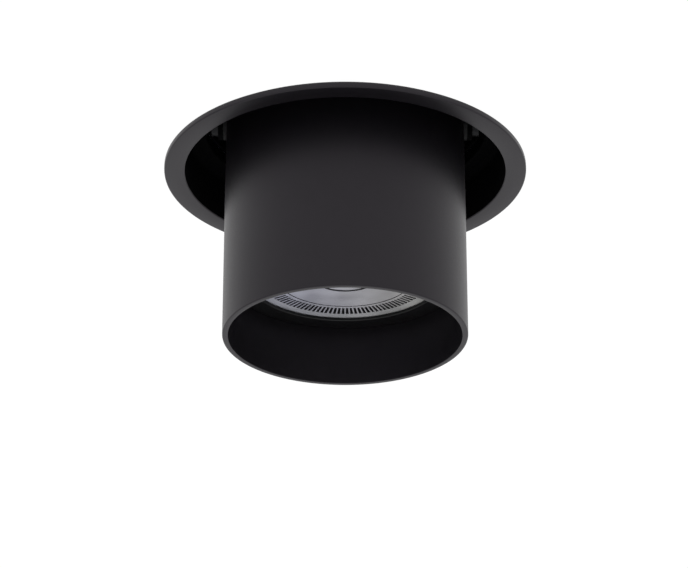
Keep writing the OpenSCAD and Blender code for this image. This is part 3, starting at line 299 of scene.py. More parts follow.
def noise(finish, size_mm, detail, stretch=(1, 1, 1)):
    """A noise whose grains are about size_mm wide, or longer where stretch is below 1."""
    nodes, links = finish.node_tree.nodes, finish.node_tree.links
    place = nodes.new("ShaderNodeTexCoord")
    mapping = nodes.new("ShaderNodeMapping")
    mapping.inputs["Scale"].default_value = stretch
    texture = nodes.new("ShaderNodeTexNoise")
    texture.inputs["Scale"].default_value = 1 / (size_mm * MM)
    texture.inputs["Detail"].default_value = detail
    links.new(place.outputs["Object"], mapping.inputs["Vector"])
    links.new(mapping.outputs["Vector"], texture.inputs["Vector"])
    return texture.outputs["Fac"]


def stretched(finish, value, start, end, low=0.0, high=1.0):
    """Stretches what lies between start and end to the range from low to high."""
    span = finish.node_tree.nodes.new("ShaderNodeMapRange")
    span.inputs["From Min"].default_value = start
    span.inputs["From Max"].default_value = end
    span.inputs["To Min"].default_value = low
    span.inputs["To Max"].default_value = high
    finish.node_tree.links.new(value, span.inputs["Value"])
    return span.outputs["Result"]


def vary(finish, socket, height, low, high):
    """Lets a number of the shader run between low and high."""
    shader = finish.node_tree.nodes["Principled BSDF"]
    number = stretched(finish, height, noise_low, noise_high, low, high)
    finish.node_tree.links.new(number, shader.inputs[socket])


def tint(finish, height, dark, light):
    """Lets the colour run between a darker and a lighter one."""
    ramp = finish.node_tree.nodes.new("ShaderNodeValToRGB")
    ramp.color_ramp.elements[0].position = noise_low
    ramp.color_ramp.elements[1].position = noise_high
    ramp.color_ramp.elements[0].color = (*dark, 1)
    ramp.color_ramp.elements[1].color = (*light, 1)
    finish.node_tree.links.new(height, ramp.inputs["Fac"])
    shader = finish.node_tree.nodes["Principled BSDF"]
    finish.node_tree.links.new(ramp.outputs["Color"], shader.inputs["Base Color"])


def relief(finish, height, depth_mm):
    """Raises and lowers the surface's shading by depth_mm."""
    bump = finish.node_tree.nodes.new("ShaderNodeBump")
    bump.inputs["Strength"].default_value = 1.0
    bump.inputs["Distance"].default_value = depth_mm * MM
    finish.node_tree.links.new(height, bump.inputs["Height"])
    shader = finish.node_tree.nodes["Principled BSDF"]
    finish.node_tree.links.new(bump.outputs["Normal"], shader.inputs["Normal"])


def grained(name, colour, roughness, size_mm, depth_mm, spread=0.12,
            stretch=(1, 1, 1), metallic=0.0, **sockets):
    """A finish with rough and raised grain, and patches of colour as wide as patch_grains grains."""
    finish = new_finish(name, colour, roughness, metallic, **sockets)
    fine = noise(finish, size_mm, 3.0, stretch)
    broad = noise(finish, size_mm * patch_grains, 2.0, stretch)
    less, more = 1 - spread, 1 + spread
    tint(finish, broad, [c * less for c in colour], [min(1, c * more) for c in colour])
    vary(finish, "Roughness", fine, roughness * less, min(1, roughness * more))
    relief(finish, fine, depth_mm)
    return finish


# %% [markdown]
# ## The finishes of this light
# The coat on the tube and the flange is a satin powder coat: almost black, with a soft sheen and a hint of
# violet. What lies deep in the opening takes a painted shade: a matt finish darker than the coat, so it
# swallows the light. The hidden metals are plated, brushed or cast, and the grain of sheet runs along it, so
# its noise is stretched one way. Each line gives the colour, the roughness, the width and height of the grain
# in millimetres, and the share by which colour and roughness change.

# %% The finishes of this light
along_z, along_arm = (1, 1, 0.12), (0.08, 1, 0.08)
grained("black_coat", (0.0032, 0.0028, 0.0039), 0.39, 0.3, 0.003, 0.1,
        IOR=1.4, Specular_Tint=(0.98, 0.91, 1.0, 1.0))
# Painted shade: near black and matt, darker than the coat, for what lies deep in the opening
grained("painted_shade_black", (0.0009, 0.0009, 0.0012), 0.8, 0.4, 0.006, 0.2, Specular_IOR_Level=0.04)
grained("black_ring", (0.003, 0.003, 0.0035), 0.34, 0.5, 0.003, IOR=1.36)
grained("black_moulding", (0.016, 0.016, 0.0175), 0.48, 0.22, 0.02, 0.14)
grained("black_foam", (0.012, 0.012, 0.012), 0.95, 0.3, 0.09, 0.3, Specular_IOR_Level=0.2)
grained("black_rubber", (0.014, 0.014, 0.014), 0.7, 0.5, 0.012, 0.2)
grained("black_nylon", (0.004, 0.004, 0.0045), 0.6, 0.6, 0.004, Specular_IOR_Level=0.2)
grained("black_screw", (0.012, 0.012, 0.013), 0.45, 0.4, 0.004, 0.2,
        metallic=0.6, Specular_IOR_Level=0.2)
grained("zinc_plate", (0.52, 0.54, 0.57), 0.33, 1.1, 0.006, 0.18, along_z, metallic=1.0)
grained("zinc_screw", (0.6, 0.62, 0.66), 0.24, 0.4, 0.002, 0.1, metallic=1.0)
grained("rivet_alloy", (0.66, 0.67, 0.68), 0.38, 0.4, 0.004, 0.12, metallic=1.0)
grained("spring_steel", (0.34, 0.34, 0.35), 0.3, 0.35, 0.003, 0.15, along_arm, metallic=1.0)
grained("spring_wire", (0.42, 0.42, 0.43), 0.28, 0.3, 0.002, 0.15, metallic=1.0)
grained("brass", (0.66, 0.47, 0.2), 0.3, 0.5, 0.003, 0.12, metallic=1.0)
grained("plated_pin", (0.66, 0.66, 0.64), 0.22, 0.5, 0.002, 0.1, metallic=1.0)
grained("lamp_casting", (0.62, 0.62, 0.63), 0.42, 0.7, 0.01, 0.1, metallic=1.0)
grained("red_fibre", (0.3, 0.07, 0.04), 0.7, 0.4, 0.01, 0.25)
grained("white_moulding", (0.78, 0.78, 0.75), 0.35, 0.8, 0.004, 0.05)
grained("ceramic", (0.82, 0.8, 0.75), 0.6, 0.5, 0.01, 0.06)
grained("white_board", (0.8, 0.8, 0.79), 0.4, 1.5, 0.003, 0.05)
grained("phosphor", (0.85, 0.62, 0.12), 0.5, 0.5, 0.01, 0.1)
grained("green_board", (0.03, 0.18, 0.08), 0.4, 1.0, 0.004, 0.15)

# %% [markdown]
# ## The lens's finish
# A clear moulded lens is never empty: its optics send back the bright room as a soft, cloudy grey, a little
# cooler on one side and warmer on the other. Here that reflection is painted into the colour: a mostly
# diffuse grey with some glass in it, cool on the left, warm on the right and with painted clouds, so it looks
# the same from every side. The rim is painted a shade lighter, as a painted highlight. The dark lines are the
# places where the moulding is seen through, down into the lamp; their shade is painted as a near-black
# finish.

# %% Lens finishes
# Painted reflection: how far the cool-to-warm painted gradient reaches, and how dark and light its painted
# clouds run
painted_hue_reach = 20
painted_cloud_dark, painted_cloud_light = 0.88, 1.18


def paint_lens_reflection(name, cool, warm):
    """A painted reflection: runs from a cool grey on the left to a warm one on the right, with soft, cloudy
    patches of painted light in it.
    """
    finish = new_finish(name, cool, 0.16, IOR=1.49, Transmission_Weight=0.2)
    nodes, links = finish.node_tree.nodes, finish.node_tree.links
    place = nodes.new("ShaderNodeTexCoord")
    split = nodes.new("ShaderNodeSeparateXYZ")
    reflection_hues = nodes.new("ShaderNodeValToRGB")
    reflection_hues.color_ramp.elements[0].color = (*cool, 1)
    reflection_hues.color_ramp.elements[1].color = (*warm, 1)
    mixed = nodes.new("ShaderNodeVectorMath")
    mixed.operation = "MULTIPLY"
    links.new(place.outputs["Object"], split.inputs["Vector"])
    across = stretched(finish, split.outputs["X"], -painted_hue_reach * MM, painted_hue_reach * MM)
    links.new(across, reflection_hues.inputs["Fac"])
    links.new(reflection_hues.outputs["Color"], mixed.inputs[0])
    painted_clouds = stretched(finish, noise(finish, 7.0, 1.0), 0.35, 0.65, painted_cloud_dark, painted_cloud_light)
    links.new(painted_clouds, mixed.inputs[1])
    links.new(mixed.outputs["Vector"], nodes["Principled BSDF"].inputs["Base Color"])
    grain = noise(finish, 2.5, 2.0)
    vary(finish, "Roughness", grain, 0.1, 0.2)
    relief(finish, grain, 0.02)


# The clear lens's colour is a painted reflection of the bright room
paint_lens_reflection("clear_lens", (0.49, 0.5, 0.61), (0.52, 0.51, 0.49))
# A lighter grey for the lens's outer rim: a painted highlight
paint_lens_reflection("lens_rim_painted_highlight", (0.5, 0.51, 0.58), (0.56, 0.56, 0.54))
# Painted shade: a near-black finish for the floors of the lens's grooves and rib channel
grained("lens_groove_painted_shade", (0.004, 0.004, 0.005), 0.4, 0.5, 0.002, 0.15, IOR=1.3)
print("finishes:", len(finishes))

# %% [markdown]
# ## Dressing the solids
# The record says which finish each solid takes. A solid that keeps its own mesh gets that finish in place
# of its plain colour.

# %% Give every solid its finish
slot_of = {row["node"]: row["material_slot"] for row in frame["record"]["subparts"]}
body_of = {node: body for body, nodes in frame["record"]["behaviour"]["bodies"].items() for node in nodes}
for node, slot in slot_of.items():
    solid = frame["nodes"][node]
    solid.data.materials.clear()
    solid.data.materials.append(finishes[slot])
print("solids with a finish:", len(slot_of))

# %% [markdown]
# ## A piece takes a solid's place
# A finished piece hides the solid that it stands for, takes its finish and moves with its body. A few pieces
# carry a second finish, which is given to the faces that pass a test of their place and direction.

# %% Helpers for finished pieces


def fit_out(piece, *nodes):
    """A finished piece takes the finish of the solids that it stands for, and rides on their body."""
    slot, body = slot_of[nodes[0]], body_of[nodes[0]]
    piece.data.materials.clear()
    piece.data.materials.append(finishes[slot])
    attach(piece, body)
    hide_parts(*nodes)
    print(piece.name, "-", len(piece.data.polygons), "faces, on", body)
    return piece


def repaint(piece, finish, is_there):
    """Gives a second finish to the faces whose place and normal pass the test."""
    piece.data.materials.append(finishes[finish])
    for face in piece.data.polygons:
        if is_there(face.center / MM, face.normal):
            face.material_index = len(piece.data.materials) - 1


# %% [markdown]
# ## The trim ring
# The cast trim ring is one turned outline: the thin flange, the spigot in the cut-out and the ledge that
# carries the can. Its inside takes a painted shade, matt and nearly black, so the opening looks deep.

# %% Trim ring
spigot_top, ledge_low = trim_high.z, trim_high.z - 3
flange_back = -0.6
flange_ring = turned("flange_ring", rounded([
    (opening_r, flange_z, 0.35), (flange_r, flange_z, 0.35),
    (flange_r, flange_back, 0.35), (spigot_r, flange_back, 0.2),
    (spigot_r, spigot_top, 0.4), (ledge_r, spigot_top, 0.1),
    (ledge_r, ledge_low, 0.4), (opening_r, ledge_low, 1.6),
]), 256)
fit_out(flange_ring, "trim_ring")
# Painted shade: the inner wall of the opening takes the near-black shade finish
repaint(flange_ring, "painted_shade_black",
        lambda place, normal: place.xy.length < opening_r + 0.01 and place.z > flange_z + 1.5)

# %% [markdown]
# ## The tube
# The pipe's outline is a narrow rectangle. The rim's outer edge has a wider fillet than its inner edge,
# which keeps the pale band of the rim as broad as it looks in the photograph.

# %% Tube
pipe = turned("tube_pipe", rounded([
    (tube_r - tube_wall, tube_low.z, 0.1), (tube_r, tube_low.z, 0.3),
    (tube_r, tube_high.z, 0.35), (tube_r - tube_wall, tube_high.z, 0.35),
]), 256)
fit_out(pipe, "tube")

# %% [markdown]
# ## The ring in the tube's mouth
# A thin black ring holds the lamp. Its lip's lower edge is rounded and catches a fine line of light.

# %% Retaining ring
ring_low, ring_high = reach("retaining_ring")
ring_r, ring_in = ring_high.x, 23.4
ring_wall, lip = 1.4, 0.8
lip_ring = turned("lip_ring", rounded([
    (ring_in, ring_low.z, 0.3), (ring_r, ring_low.z, 0.3),
    (ring_r, ring_high.z, 0.2), (ring_r - ring_wall, ring_high.z, 0.2),
    (ring_r - ring_wall, ring_low.z + lip, 0.2), (ring_in, ring_low.z + lip, 0.15),
]), 192)
fit_out(lip_ring, "retaining_ring")

# %% [markdown]
# ## The lens
# One clear moulding: a round dish in the middle, a flat, a ring of fine radial ribs and a rim with a painted
# highlight, with a collimator behind. Fine dark lines part the zones. They could be painted by the shader,
# but real grooves keep their place from every side, so the outline gets narrow grooves and a channel for the
# ribs. Their floors take a near-black finish, painted shade for the dark lamp seen through them.

# %% Lens
lens_low, lens_high = reach("lamp_lens")
face, top = lens_low.z, lens_high.z
back = face + 1.4
dish_line, face_line = (7.12, 7.9), (16.55, 16.87)
channel = (17.75, 21.25)
lens_r, collimator_r = 24.35, 16.7
groove, channel_depth = 0.08, 0.12
lens = turned("lens_moulding", [
    (0, face + 0.4), (6.7, face + 0.4), (7.0, face + 0.2),
    (dish_line[0], face), (dish_line[0] + 0.02, face + groove),
    (dish_line[1] - 0.02, face + groove), (dish_line[1], face),
    (face_line[0], face), (face_line[0] + 0.02, face + groove),
    (face_line[1] - 0.02, face + groove), (face_line[1], face),
    (channel[0], face), (channel[0] + 0.05, face + channel_depth),
    (channel[1] - 0.05, face + channel_depth), (channel[1], face),
    (22.6, face), (lens_r - 0.2, face + 0.04), (lens_r, face + 0.2), (lens_r, back),
    (collimator_r, back), (13.05, back + 5), (7, top), (4.6, top), (4.2, top - 4.6), (0, top - 5.6),
])
fit_out(lens, "lamp_lens")
# Painted shade: the groove and channel floors take the near-black finish
repaint(lens, "lens_groove_painted_shade", lambda place, normal: face + 0.03 < place.z < face + 0.13
        and place.xy.length > dish_line[0] + 0.01)
# Painted highlight: the rim's front faces take the lighter grey
repaint(lens, "lens_rim_painted_highlight", lambda place, normal: place.z < face + 0.1 and place.xy.length > channel[1])

# %% [markdown]
# ## The ribs of the lens
# A rib is a small bar that widens a little outwards, like a spoke. One bar is shaped, and its copies are
# turned round the axis. There are so many that each is kept to the six faces it needs.

# %% Ribs of the lens
rib_count, rib_half, rib_tall, rib_flare = 120, 0.17, 0.13, 1.16
rib_in, rib_out = channel[0] + 0.03, channel[1] - 0.03
rib = block("rib", (rib_in, -rib_half, face), (rib_out, rib_half, face + rib_tall))
pick(rib, "VERT", lambda point: point.x > 19)
bpy.ops.transform.resize(value=(1, rib_flare, 1), center_override=(rib_out * MM, 0, face * MM))
bpy.ops.object.mode_set(mode="OBJECT")
spokes = [Matrix.Rotation(2 * math.pi * k / rib_count, 4, "Z") for k in range(rib_count)]
fit_out(placed(rib, "lens_ribs", spokes), "lamp_lens")

# %% [markdown]
# ## The can
# The can is deep drawn from plated sheet: a foot that is screwed to the ledge, a straight wall and a large
# round corner. Its inside takes a painted shade, matt and near black, so that nothing shines behind the tube.

# %% Can
foot_r, foot_low, nipple_hole_r = spigot_r, can_low.z, 5.05
can_top, can_in = can_high.z, can_r - can_sheet


def faces_axis(place, normal):
    """True where a face looks towards the light's own axis."""
    return place.xy.normalized().dot(normal.xy) < -0.3


can_shell = turned("can_shell", rounded([
    (foot_r, foot_low, 0.3), (foot_r, foot_low + can_sheet, 0.3), (can_r, foot_low + can_sheet, 0.6),
    (can_r, can_top, 3.5), (nipple_hole_r, can_top, 0), (nipple_hole_r, can_top - can_sheet, 0),
    (can_in, can_top - can_sheet, 2.5), (can_in, foot_low, 0.6),
], 8), 192)
fit_out(can_shell, "can")
# Painted shade: the can's inside faces take the near-black shade finish
repaint(can_shell, "painted_shade_black", lambda place, normal: place.xy.length < can_r + 0.5
        and place.z < can_top - 0.5 and (faces_axis(place, normal) or normal.z < -0.05))

# %% [markdown]
# ## Screws
# The small screws are pan heads with a cross recess: a turned outline with a low dome, and two tapered blades
# cut out of it. One is modelled at the origin, and its copies are turned to odd angles, as a screwdriver
# leaves them. The ends of the tips that reach into the opening take the near-black painted shade of the ledge
# there.

# %% Pan-head screw
head_r, shank_r = 2.5, 1.45
recess_r, recess_half, recess_floor = 1.45, 0.32, 0.75


def blade(turn):
    """One arm of the cross recess, narrower at its bottom."""
    tool = block("blade", (-recess_r, -recess_half, recess_floor), (recess_r, recess_half, 2.2))
    pick(tool, "VERT", lambda point: point.z < 1)
    bpy.ops.transform.resize(value=(0.6, 0.7, 1), center_override=(0, 0, recess_floor * MM))
    bpy.ops.object.mode_set(mode="OBJECT")
    tool.data.transform(Matrix.Rotation(turn, 4, "Z"))
    return tool


def pan_screw(name, length, places):
    outline = rounded([
        (0, -length, 0), (1.0, -length, 0), (shank_r, -length + 0.6, 0), (shank_r, 0, 0),
        (head_r - 0.2, 0, 0), (head_r, 0.2, 0.1), (head_r, 0.75, 0.5), (1.6, 1.4, 0.8), (0, 1.6, 0),
    ])
    screw = turned(name, outline, 48)
    for turn in (0, math.pi / 2):
        cut(screw, blade(turn))
    close_up(screw, 30)
    return placed(screw, name, places)


# %% Screws of the can and the lid
screw_low, screw_high = reach("can_screws")
circle = (screw_high.x - head_r) / math.cos(math.radians(45))
head_z = foot_low + can_sheet
can_places = [
    Matrix.Rotation(math.radians(45 + 90 * k), 4, "Z") @ Matrix.Translation((circle * MM, 0, head_z * MM))
    @ Matrix.Rotation(math.radians(17 + 31 * k), 4, "Z") for k in range(4)
]
foot_screws = fit_out(pan_screw("foot_screws", head_z - screw_low.z, can_places), "can_screws")
# Painted shade: the screw tips below the ledge take the near-black shade finish
repaint(foot_screws, "painted_shade_black", lambda place, normal: place.z < ledge_low + 0.5)
lid_top = reach("terminal_lid")[1].z
screw_low, screw_high = reach("lid_screws")
lid_spots = (
    (screw_high.x - head_r, screw_low.y + head_r, 25),
    (screw_low.x + head_r, screw_high.y - head_r, 68),
)
lid_places = [
    Matrix.Translation((x * MM, y * MM, lid_top * MM)) @ Matrix.Rotation(math.radians(turn), 4, "Z")
    for x, y, turn in lid_spots
]
fit_out(pan_screw("box_screws", lid_top - screw_low.z, lid_places), "lid_screws")

# %% [markdown]
# ## Rivets
# The clips are held by blind rivets, with a flat dome and a small round hole where the mandrel broke off.
# One is turned upright at the origin. Its copies lie along X and are carried round to both sides.

# %% Rivets of the clips
rivet_r, dome_tall, rivet_shank_r, mandrel_r = 1.6, 0.6, 0.95, 0.45
rivet_low, rivet_high = reach("clip_rivets")
rivet_z = (rivet_low.z + rivet_r, rivet_high.z - rivet_r)
plate_x = rivet_high.x - dome_tall
rivet = turned("rivet", rounded([
    (mandrel_r, -0.9, 0), (mandrel_r, 0.5, 0.12), (1.0, dome_tall, 0.4), (rivet_r, 0.25, 0.2),
    (rivet_r, 0, 0), (rivet_shank_r, 0, 0), (rivet_shank_r, -2.02, 0), (rivet_r, -2.05, 0),
    (rivet_r, -2.3, 0.2), (1.1, -2.6, 0.3), (0, -2.6, 0), (0, -0.9, 0),
]), 48)
laid_down = Matrix.Rotation(math.pi / 2, 4, "Y")
outward = [
    Matrix.Rotation(turn, 4, "Z") @ Matrix.Translation((plate_x * MM, 0, z * MM)) @ laid_down
    for turn in (0, math.pi) for z in rivet_z
]
fit_out(placed(rivet, "blind_rivets", outward), "clip_rivets")

# %% [markdown]
# ## Mouldings and bent sheet
# The terminal box, its lid, the yoke, the gland's locknut and the clips' brackets, arms and pins already have
# their right shape as solids, but real mouldings, pins and punched sheet have no sharp edges. A copy of each
# mesh is merged, its flat faces are made whole, and a Bevel modifier rounds what is sharp. The yoke is seen
# deep in the opening, so its copy takes the near-black painted shade all over.

# %% Rounded copies of solids


def rounded_copy(node, name, width_mm, segments=2):
    copy = bpy.data.objects.new(name, frame["nodes"][node].data.copy())
    bpy.context.scene.collection.objects.link(copy)
    make_active(copy)
    edit()
    bpy.ops.mesh.remove_doubles(threshold=1e-6)
    bpy.ops.mesh.dissolve_limited(angle_limit=math.radians(1))
    bpy.ops.object.mode_set(mode="OBJECT")
    soften(copy, width_mm, segments)
    return fit_out(copy, node)


rounded_copy("terminal_box", "box_moulding", 0.45, 3)
rounded_copy("terminal_lid", "lid_moulding", 0.4, 3)
for label in ("left", "right"):
    rounded_copy("clip_bracket_" + label, "bracket_" + label, 0.12)
    rounded_copy("clip_arm_" + label, "arm_" + label, 0.1)
    rounded_copy("clip_pin_" + label, "pin_" + label, 0.15)
strip = rounded_copy("yoke", "yoke_strip", 0.15)
# Painted shade: the whole yoke takes the near-black shade finish
repaint(strip, "painted_shade_black", lambda place, normal: True)
rounded_copy("gland_locknut", "locknut", 0.2)

# %% [markdown]
# ## The cable gland
# The gland is moulded too. Its collar and its nut are hexagons whose corners are turned off at the ends, a
# few threads show between them, and the nut closes in a dome round the rubber seal. The hexagons are
# cylinders of six sides, cut by a turned shape.

# %% Cable gland
gland_low, gland_high = reach("gland_nut")
box_end = reach("terminal_box")[1].y
gland_z = (gland_low.z + gland_high.z) / 2
gland_place = Matrix.Translation((0, box_end * MM, gland_z * MM)) @ Matrix.Rotation(-math.pi / 2, 4, "X")
thread_r, gland_bore = 6, 4.4
collar_r, collar_end = 8.66, 4
nut_r, nut_start, nut_end = 8.36, 4.4, 10.4
limit_sides = 96


def hexagon(name, corner_r, start, end, bore):
    """A hexagon along Z whose corners are turned off at both ends, with a bore."""
    clear_selection()
    bpy.ops.mesh.primitive_cylinder_add(vertices=6, radius=corner_r * MM, depth=(end - start) * MM,
                                        location=(0, 0, (start + end) / 2 * MM))
    piece = bpy.context.object
    piece.name = piece.data.name = name
    close_up(piece)
    flat = corner_r * math.cos(math.pi / 6)
    limit = turned("limit", [
        (bore, start - 1), (flat - 0.1, start - 0.01), (corner_r + 0.1, start + 1), (corner_r + 0.1, end - 1),
        (flat - 0.1, end + 0.01), (bore, end + 1),
    ], limit_sides)
    # half a step, so that no corner of the tool meets the middle of a flat
    limit.data.transform(Matrix.Rotation(math.pi / limit_sides, 4, "Z"))
    return soften(cut(piece, limit, "INTERSECT"), 0.12)


def threaded(name, radius, bore, start, end, pitch=1.2, depth=0.4):
    """A short thread drawn as rings of V-shaped ridges."""
    outline = [(bore, start), (radius - depth, start)]
    z = start + 0.2
    while z + pitch < end:
        outline += [(radius - depth, z), (radius, z + pitch * 0.5)]
        z += pitch
    outline += [(radius - depth, z), (radius - depth, end), (bore, end)]
    return turned(name, outline, 96)


def joined(name, pieces):
    """Joins the pieces and carries them from the origin to the gland's place on the box."""
    clear_selection()
    for piece in pieces:
        piece.select_set(True)
    bpy.context.view_layer.objects.active = pieces[0]
    bpy.ops.object.join()
    pieces[0].name = pieces[0].data.name = name
    pieces[0].data.transform(gland_place)
    return pieces[0]


collar = hexagon("collar", collar_r, 0, collar_end, gland_bore)
thread = threaded("thread", thread_r, gland_bore, -6, 10)
fit_out(joined("gland_collar", [collar, thread]), "gland_body")
nut_bore = thread_r + 0.05
nut = hexagon("nut", nut_r, nut_start, nut_end, nut_bore)
dome = turned("dome", rounded([
    (nut_bore, 4.5, 0), (7, 4.5, 0), (7, 11.6, 0.3), (6.7, 11.6, 0.1), (6.7, 12.1, 0.1), (6.9, 12.1, 0.2),
    (6.2, 14.6, 1.4), (4.6, 15.35, 0.3), (3.9, 15.4, 0.3), (3.9, 12.2, 0.3), (nut_bore, 12.1, 0),
]), 96)
fit_out(joined("gland_dome", [nut, dome]), "gland_nut")

# %% [markdown]
# ## Soft seals
# Pressed foam and rubber bulge a little at their free edges, so the seals are turned with round edges. The
# gland's bush has two fine grooves in its bore, so that its lands grip a cable.

# %% Seals
gasket_low, gasket_high = reach("soffit_gasket")
gasket_out = gasket_high.x
gasket_in = gasket_out - 1.6
fit_out(turned("foam_gasket", rounded([
    (gasket_in, gasket_low.z, 0.25), (gasket_out, gasket_low.z, 0.25),
    (gasket_out, gasket_high.z, 0.25), (gasket_in, gasket_high.z, 0.25),
]), 192), "soffit_gasket")
seal_low, seal_high = reach("can_seal")
fit_out(turned("can_gasket", rounded([
    (can_r, seal_low.z, 0.2), (spigot_r, seal_low.z, 0.2),
    (spigot_r, seal_high.z, 0.2), (can_r, seal_high.z, 0.2),
]), 192), "can_seal")
bush_in, bush_out, dent_r = 3.5, 4.35, 3.62
bush = turned("bush", rounded([
    (bush_in, 3.5, 0.2), (bush_out, 3.5, 0.2), (bush_out, 11.5, 0.3), (bush_in, 11.5, 0.3),
    (bush_in, 9, 0), (dent_r, 8.6, 0), (bush_in, 8.2, 0),
    (bush_in, 7, 0), (dent_r, 6.6, 0), (bush_in, 6.2, 0),
]), 96)
fit_out(joined("gland_bush", [bush]), "gland_seal")

# %% [markdown]
# ## The clips' rubber sleeves
# Each sleeve is a slab with rounded corners and four grooves for grip on both faces. The upright edges are
# bevelled first and the rest after them, and the grooves are cut last, because a bevel run over fine
# grooves tears the mesh. Their cutters stand a little off the faces, so that none of their corners lies
# exactly in a face.

# %% Rubber sleeves of the clips
grip_grooves, grip_r, grip_off = 4, 0.3, 0.02


def rubber_sleeve(label):
    low, high = reach("clip_sleeve_" + label)
    piece = block("sleeve_" + label, low, high)
    pick(piece, "EDGE", lambda start, end: abs(start.z - end.z) > 1)
    bpy.ops.mesh.bevel(offset=1.5 * MM, segments=6, affect="EDGES")
    bpy.ops.object.mode_set(mode="OBJECT")
    soften(piece, 0.45, 3)
    for k in range(grip_grooves):
        x = low.x + (high.x - low.x) * (k + 1.5) / (grip_grooves + 2)
        for z in (low.z - grip_off, high.z + grip_off):
            clear_selection()
            bpy.ops.mesh.primitive_cylinder_add(vertices=16, radius=grip_r * MM, depth=30 * MM,
                                                location=(x * MM, 0, z * MM), rotation=(math.pi / 2, 0, 0))
            cut(piece, close_up(bpy.context.object))
    make_active(piece)
    bpy.ops.object.shade_smooth_by_angle(angle=math.radians(50))
    return fit_out(piece, "clip_sleeve_" + label)


rubber_sleeve("left")
rubber_sleeve("right")

# %% [markdown]
# ## The clips' springs
# A torsion spring of round wire sits round each clip's pin: one leg lies on the arm, a little over four turns
# run round the pin, and the other leg runs down the bracket. The wire's middle line is drawn as a curve with
# a round section.

# %% Clip springs
wire_r, coil_r, coil_pitch = 0.25, 1.4, 1.0
coil_from, coil_to = math.radians(34), math.radians(1620)
arm_leg, wall_leg = 9.6, 3.71
pin_low, pin_high = reach("clip_pin_right")
pin_x, pin_z = (pin_low.x + pin_high.x) / 2, (pin_low.z + pin_high.z) / 2


def coil_point(angle):
    along = coil_pitch * (coil_to - coil_from) / (2 * math.pi)
    y = along * ((angle - coil_from) / (coil_to - coil_from) - 0.5)
    return Vector((pin_x + coil_r * math.cos(angle), y, pin_z + coil_r * math.sin(angle)))


def spring_line():
    """The wire's middle line: the leg on the arm, the coil, and the leg down the bracket."""
    points = []
    out = Vector((math.sin(coil_from), 0, -math.cos(coil_from)))
    arm_steps, coil_steps, wall_steps = 24, 176, 8
    for k in range(arm_steps):
        points.append(coil_point(coil_from) + out * arm_leg * (1 - k / arm_steps))
    for k in range(coil_steps + 1):
        points.append(coil_point(coil_from + (coil_to - coil_from) * k / coil_steps))
    for k in range(1, wall_steps + 1):
        points.append(coil_point(coil_to) + Vector((0, 0, -wall_leg * k / wall_steps)))
    return points


def clip_spring(name, side):
    """The spring of the right clip, or turned half round the light's axis for the left one."""
    clear_selection()
    line = spring_line()
    curve = bpy.data.curves.new(name, "CURVE")
    curve.dimensions = "3D"
    curve.bevel_depth = wire_r * MM
    curve.bevel_resolution = 4
    curve.use_fill_caps = True
    spline = curve.splines.new("POLY")
    spline.points.add(len(line) - 1)
    for point, place in zip(spline.points, line):
        point.co = (side * place.x * MM, side * place.y * MM, place.z * MM, 1)
    wire = bpy.data.objects.new(name, curve)
    bpy.context.scene.collection.objects.link(wire)
    make_active(wire)
    bpy.ops.object.convert(target="MESH")
    return close_up(bpy.context.object)


for side, label in ((1, "right"), (-1, "left")):
    spring = clip_spring("torsion_spring_" + label, side)
    spring.data.materials.append(finishes["spring_wire"])
    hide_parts("clip_spring_" + label)
    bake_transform(spring)
    print(spring.name, len(spring.data.polygons), "faces")

# %% [markdown]
# ## The stage
# A white soffit with a round hole carries the light, and a pale floor lies below it. Both glow a little, so
# that the black coat has something even to mirror and shows only its own sheen. The soffit is drawn for a
# viewer below it, and is clear from above, so that the hidden side can be looked at as well.

# %% Soffit and floor


def plain(name, colour, strength):
    finish = bpy.data.materials.new(name)
    finish.use_nodes = True
    shader = finish.node_tree.nodes["Principled BSDF"]
    shader.inputs["Base Color"].default_value = (*colour, 1)
    shader.inputs["Roughness"].default_value = 0.9
    shader.inputs["Emission Color"].default_value = (1, 1, 1, 1)
    shader.inputs["Emission Strength"].default_value = strength
    return finish


soffit_hole_r, soffit_spread = 42.4, 20
floor_depth, floor_r = 1.4, 20
clear_selection()
bpy.ops.mesh.primitive_circle_add(vertices=96, radius=soffit_hole_r * MM, fill_type="NOTHING",
                                  location=(0, 0, 0))
soffit = bpy.context.object
soffit.name = soffit.data.name = "soffit_board"
edit()
bpy.ops.mesh.extrude_region_move(TRANSFORM_OT_translate={"value": (0, 0, 0)})
bpy.ops.transform.resize(value=(soffit_spread, soffit_spread, 1), center_override=(0, 0, 0))
bpy.ops.mesh.select_all(action="SELECT")
bpy.ops.mesh.normals_make_consistent(inside=False)
bpy.ops.object.mode_set(mode="OBJECT")
if soffit.data.polygons[0].normal.z > 0:
    edit()
    bpy.ops.mesh.flip_normals()
    bpy.ops.object.mode_set(mode="OBJECT")
soffit_finish = plain("soffit_paint", (0, 0, 0), 1.0)
nodes, links = soffit_finish.node_tree.nodes, soffit_finish.node_tree.links
facing = nodes.new("ShaderNodeNewGeometry")
clear = nodes.new("ShaderNodeBsdfTransparent")
by_side = nodes.new("ShaderNodeMixShader")
links.new(facing.outputs["Backfacing"], by_side.inputs["Fac"])
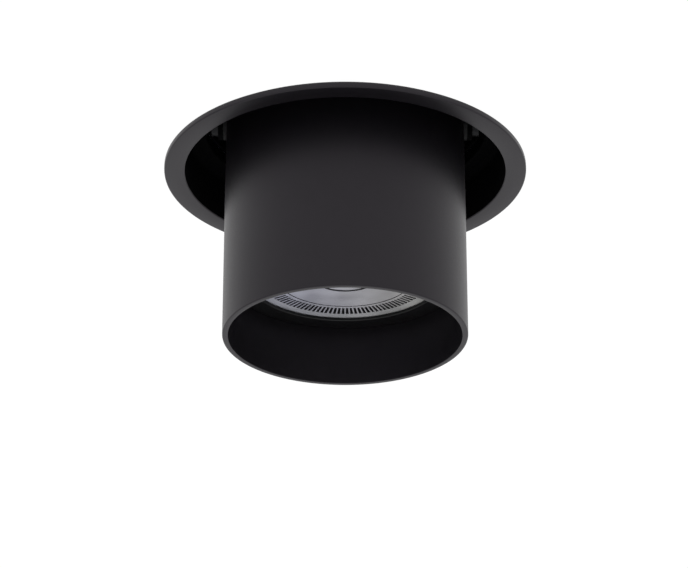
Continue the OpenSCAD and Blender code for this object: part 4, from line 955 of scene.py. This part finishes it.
links.new(nodes["Principled BSDF"].outputs["BSDF"], by_side.inputs[1])
links.new(clear.outputs["BSDF"], by_side.inputs[2])
links.new(by_side.outputs["Shader"], nodes["Material Output"].inputs["Surface"])
soffit.data.materials.append(soffit_finish)

clear_selection()
bpy.ops.mesh.primitive_circle_add(vertices=64, radius=floor_r, fill_type="NGON",
                                  location=(0, 0, -floor_depth))
floor = bpy.context.object
floor.name = "floor"
floor.data.materials.append(plain("floor_paint", (0.8, 0.8, 0.8), 0.52))
print("soffit hole", soffit_hole_r, "mm in radius, floor", floor_depth, "m below")

# %% [markdown]
# ## Light
# A pale sky lights everything from all sides. It darkens overhead, and two large soft lights stand above
# the soffit, so that the plated can and the clips show their shapes.

# %% Sky and lights
world = bpy.data.worlds.new("studio")
bpy.context.scene.world = world
world.use_nodes = True
nodes, links = world.node_tree.nodes, world.node_tree.links
place = nodes.new("ShaderNodeTexCoord")
split = nodes.new("ShaderNodeSeparateXYZ")
ramp = nodes.new("ShaderNodeValToRGB")
ramp.color_ramp.elements[0].position = 0.1
ramp.color_ramp.elements[0].color = (1, 1, 1, 1)
ramp.color_ramp.elements[1].position = 0.6
ramp.color_ramp.elements[1].color = (0.35, 0.35, 0.36, 1)
links.new(place.outputs["Generated"], split.inputs["Vector"])
links.new(split.outputs["Z"], ramp.inputs["Fac"])
links.new(ramp.outputs["Color"], nodes["Background"].inputs["Color"])
nodes["Background"].inputs["Strength"].default_value = 1.0


def soft_light(name, place, size, watts):
    lamp = bpy.data.lights.new(name, "AREA")
    lamp.shape = "DISK"
    lamp.size = size
    lamp.energy = watts
    holder = bpy.data.objects.new(name, lamp)
    holder.location = Vector(place)
    holder.rotation_mode = "QUATERNION"
    holder.rotation_quaternion = (-Vector(place)).to_track_quat("-Z", "Y")
    bpy.context.scene.collection.objects.link(holder)


soft_light("key", (0.7, -0.6, 0.9), 0.6, 9)
soft_light("fill", (-0.9, 0.4, 0.6), 0.8, 5)
bpy.context.scene.view_settings.view_transform = "Standard"
bpy.context.scene.view_settings.look = "None"
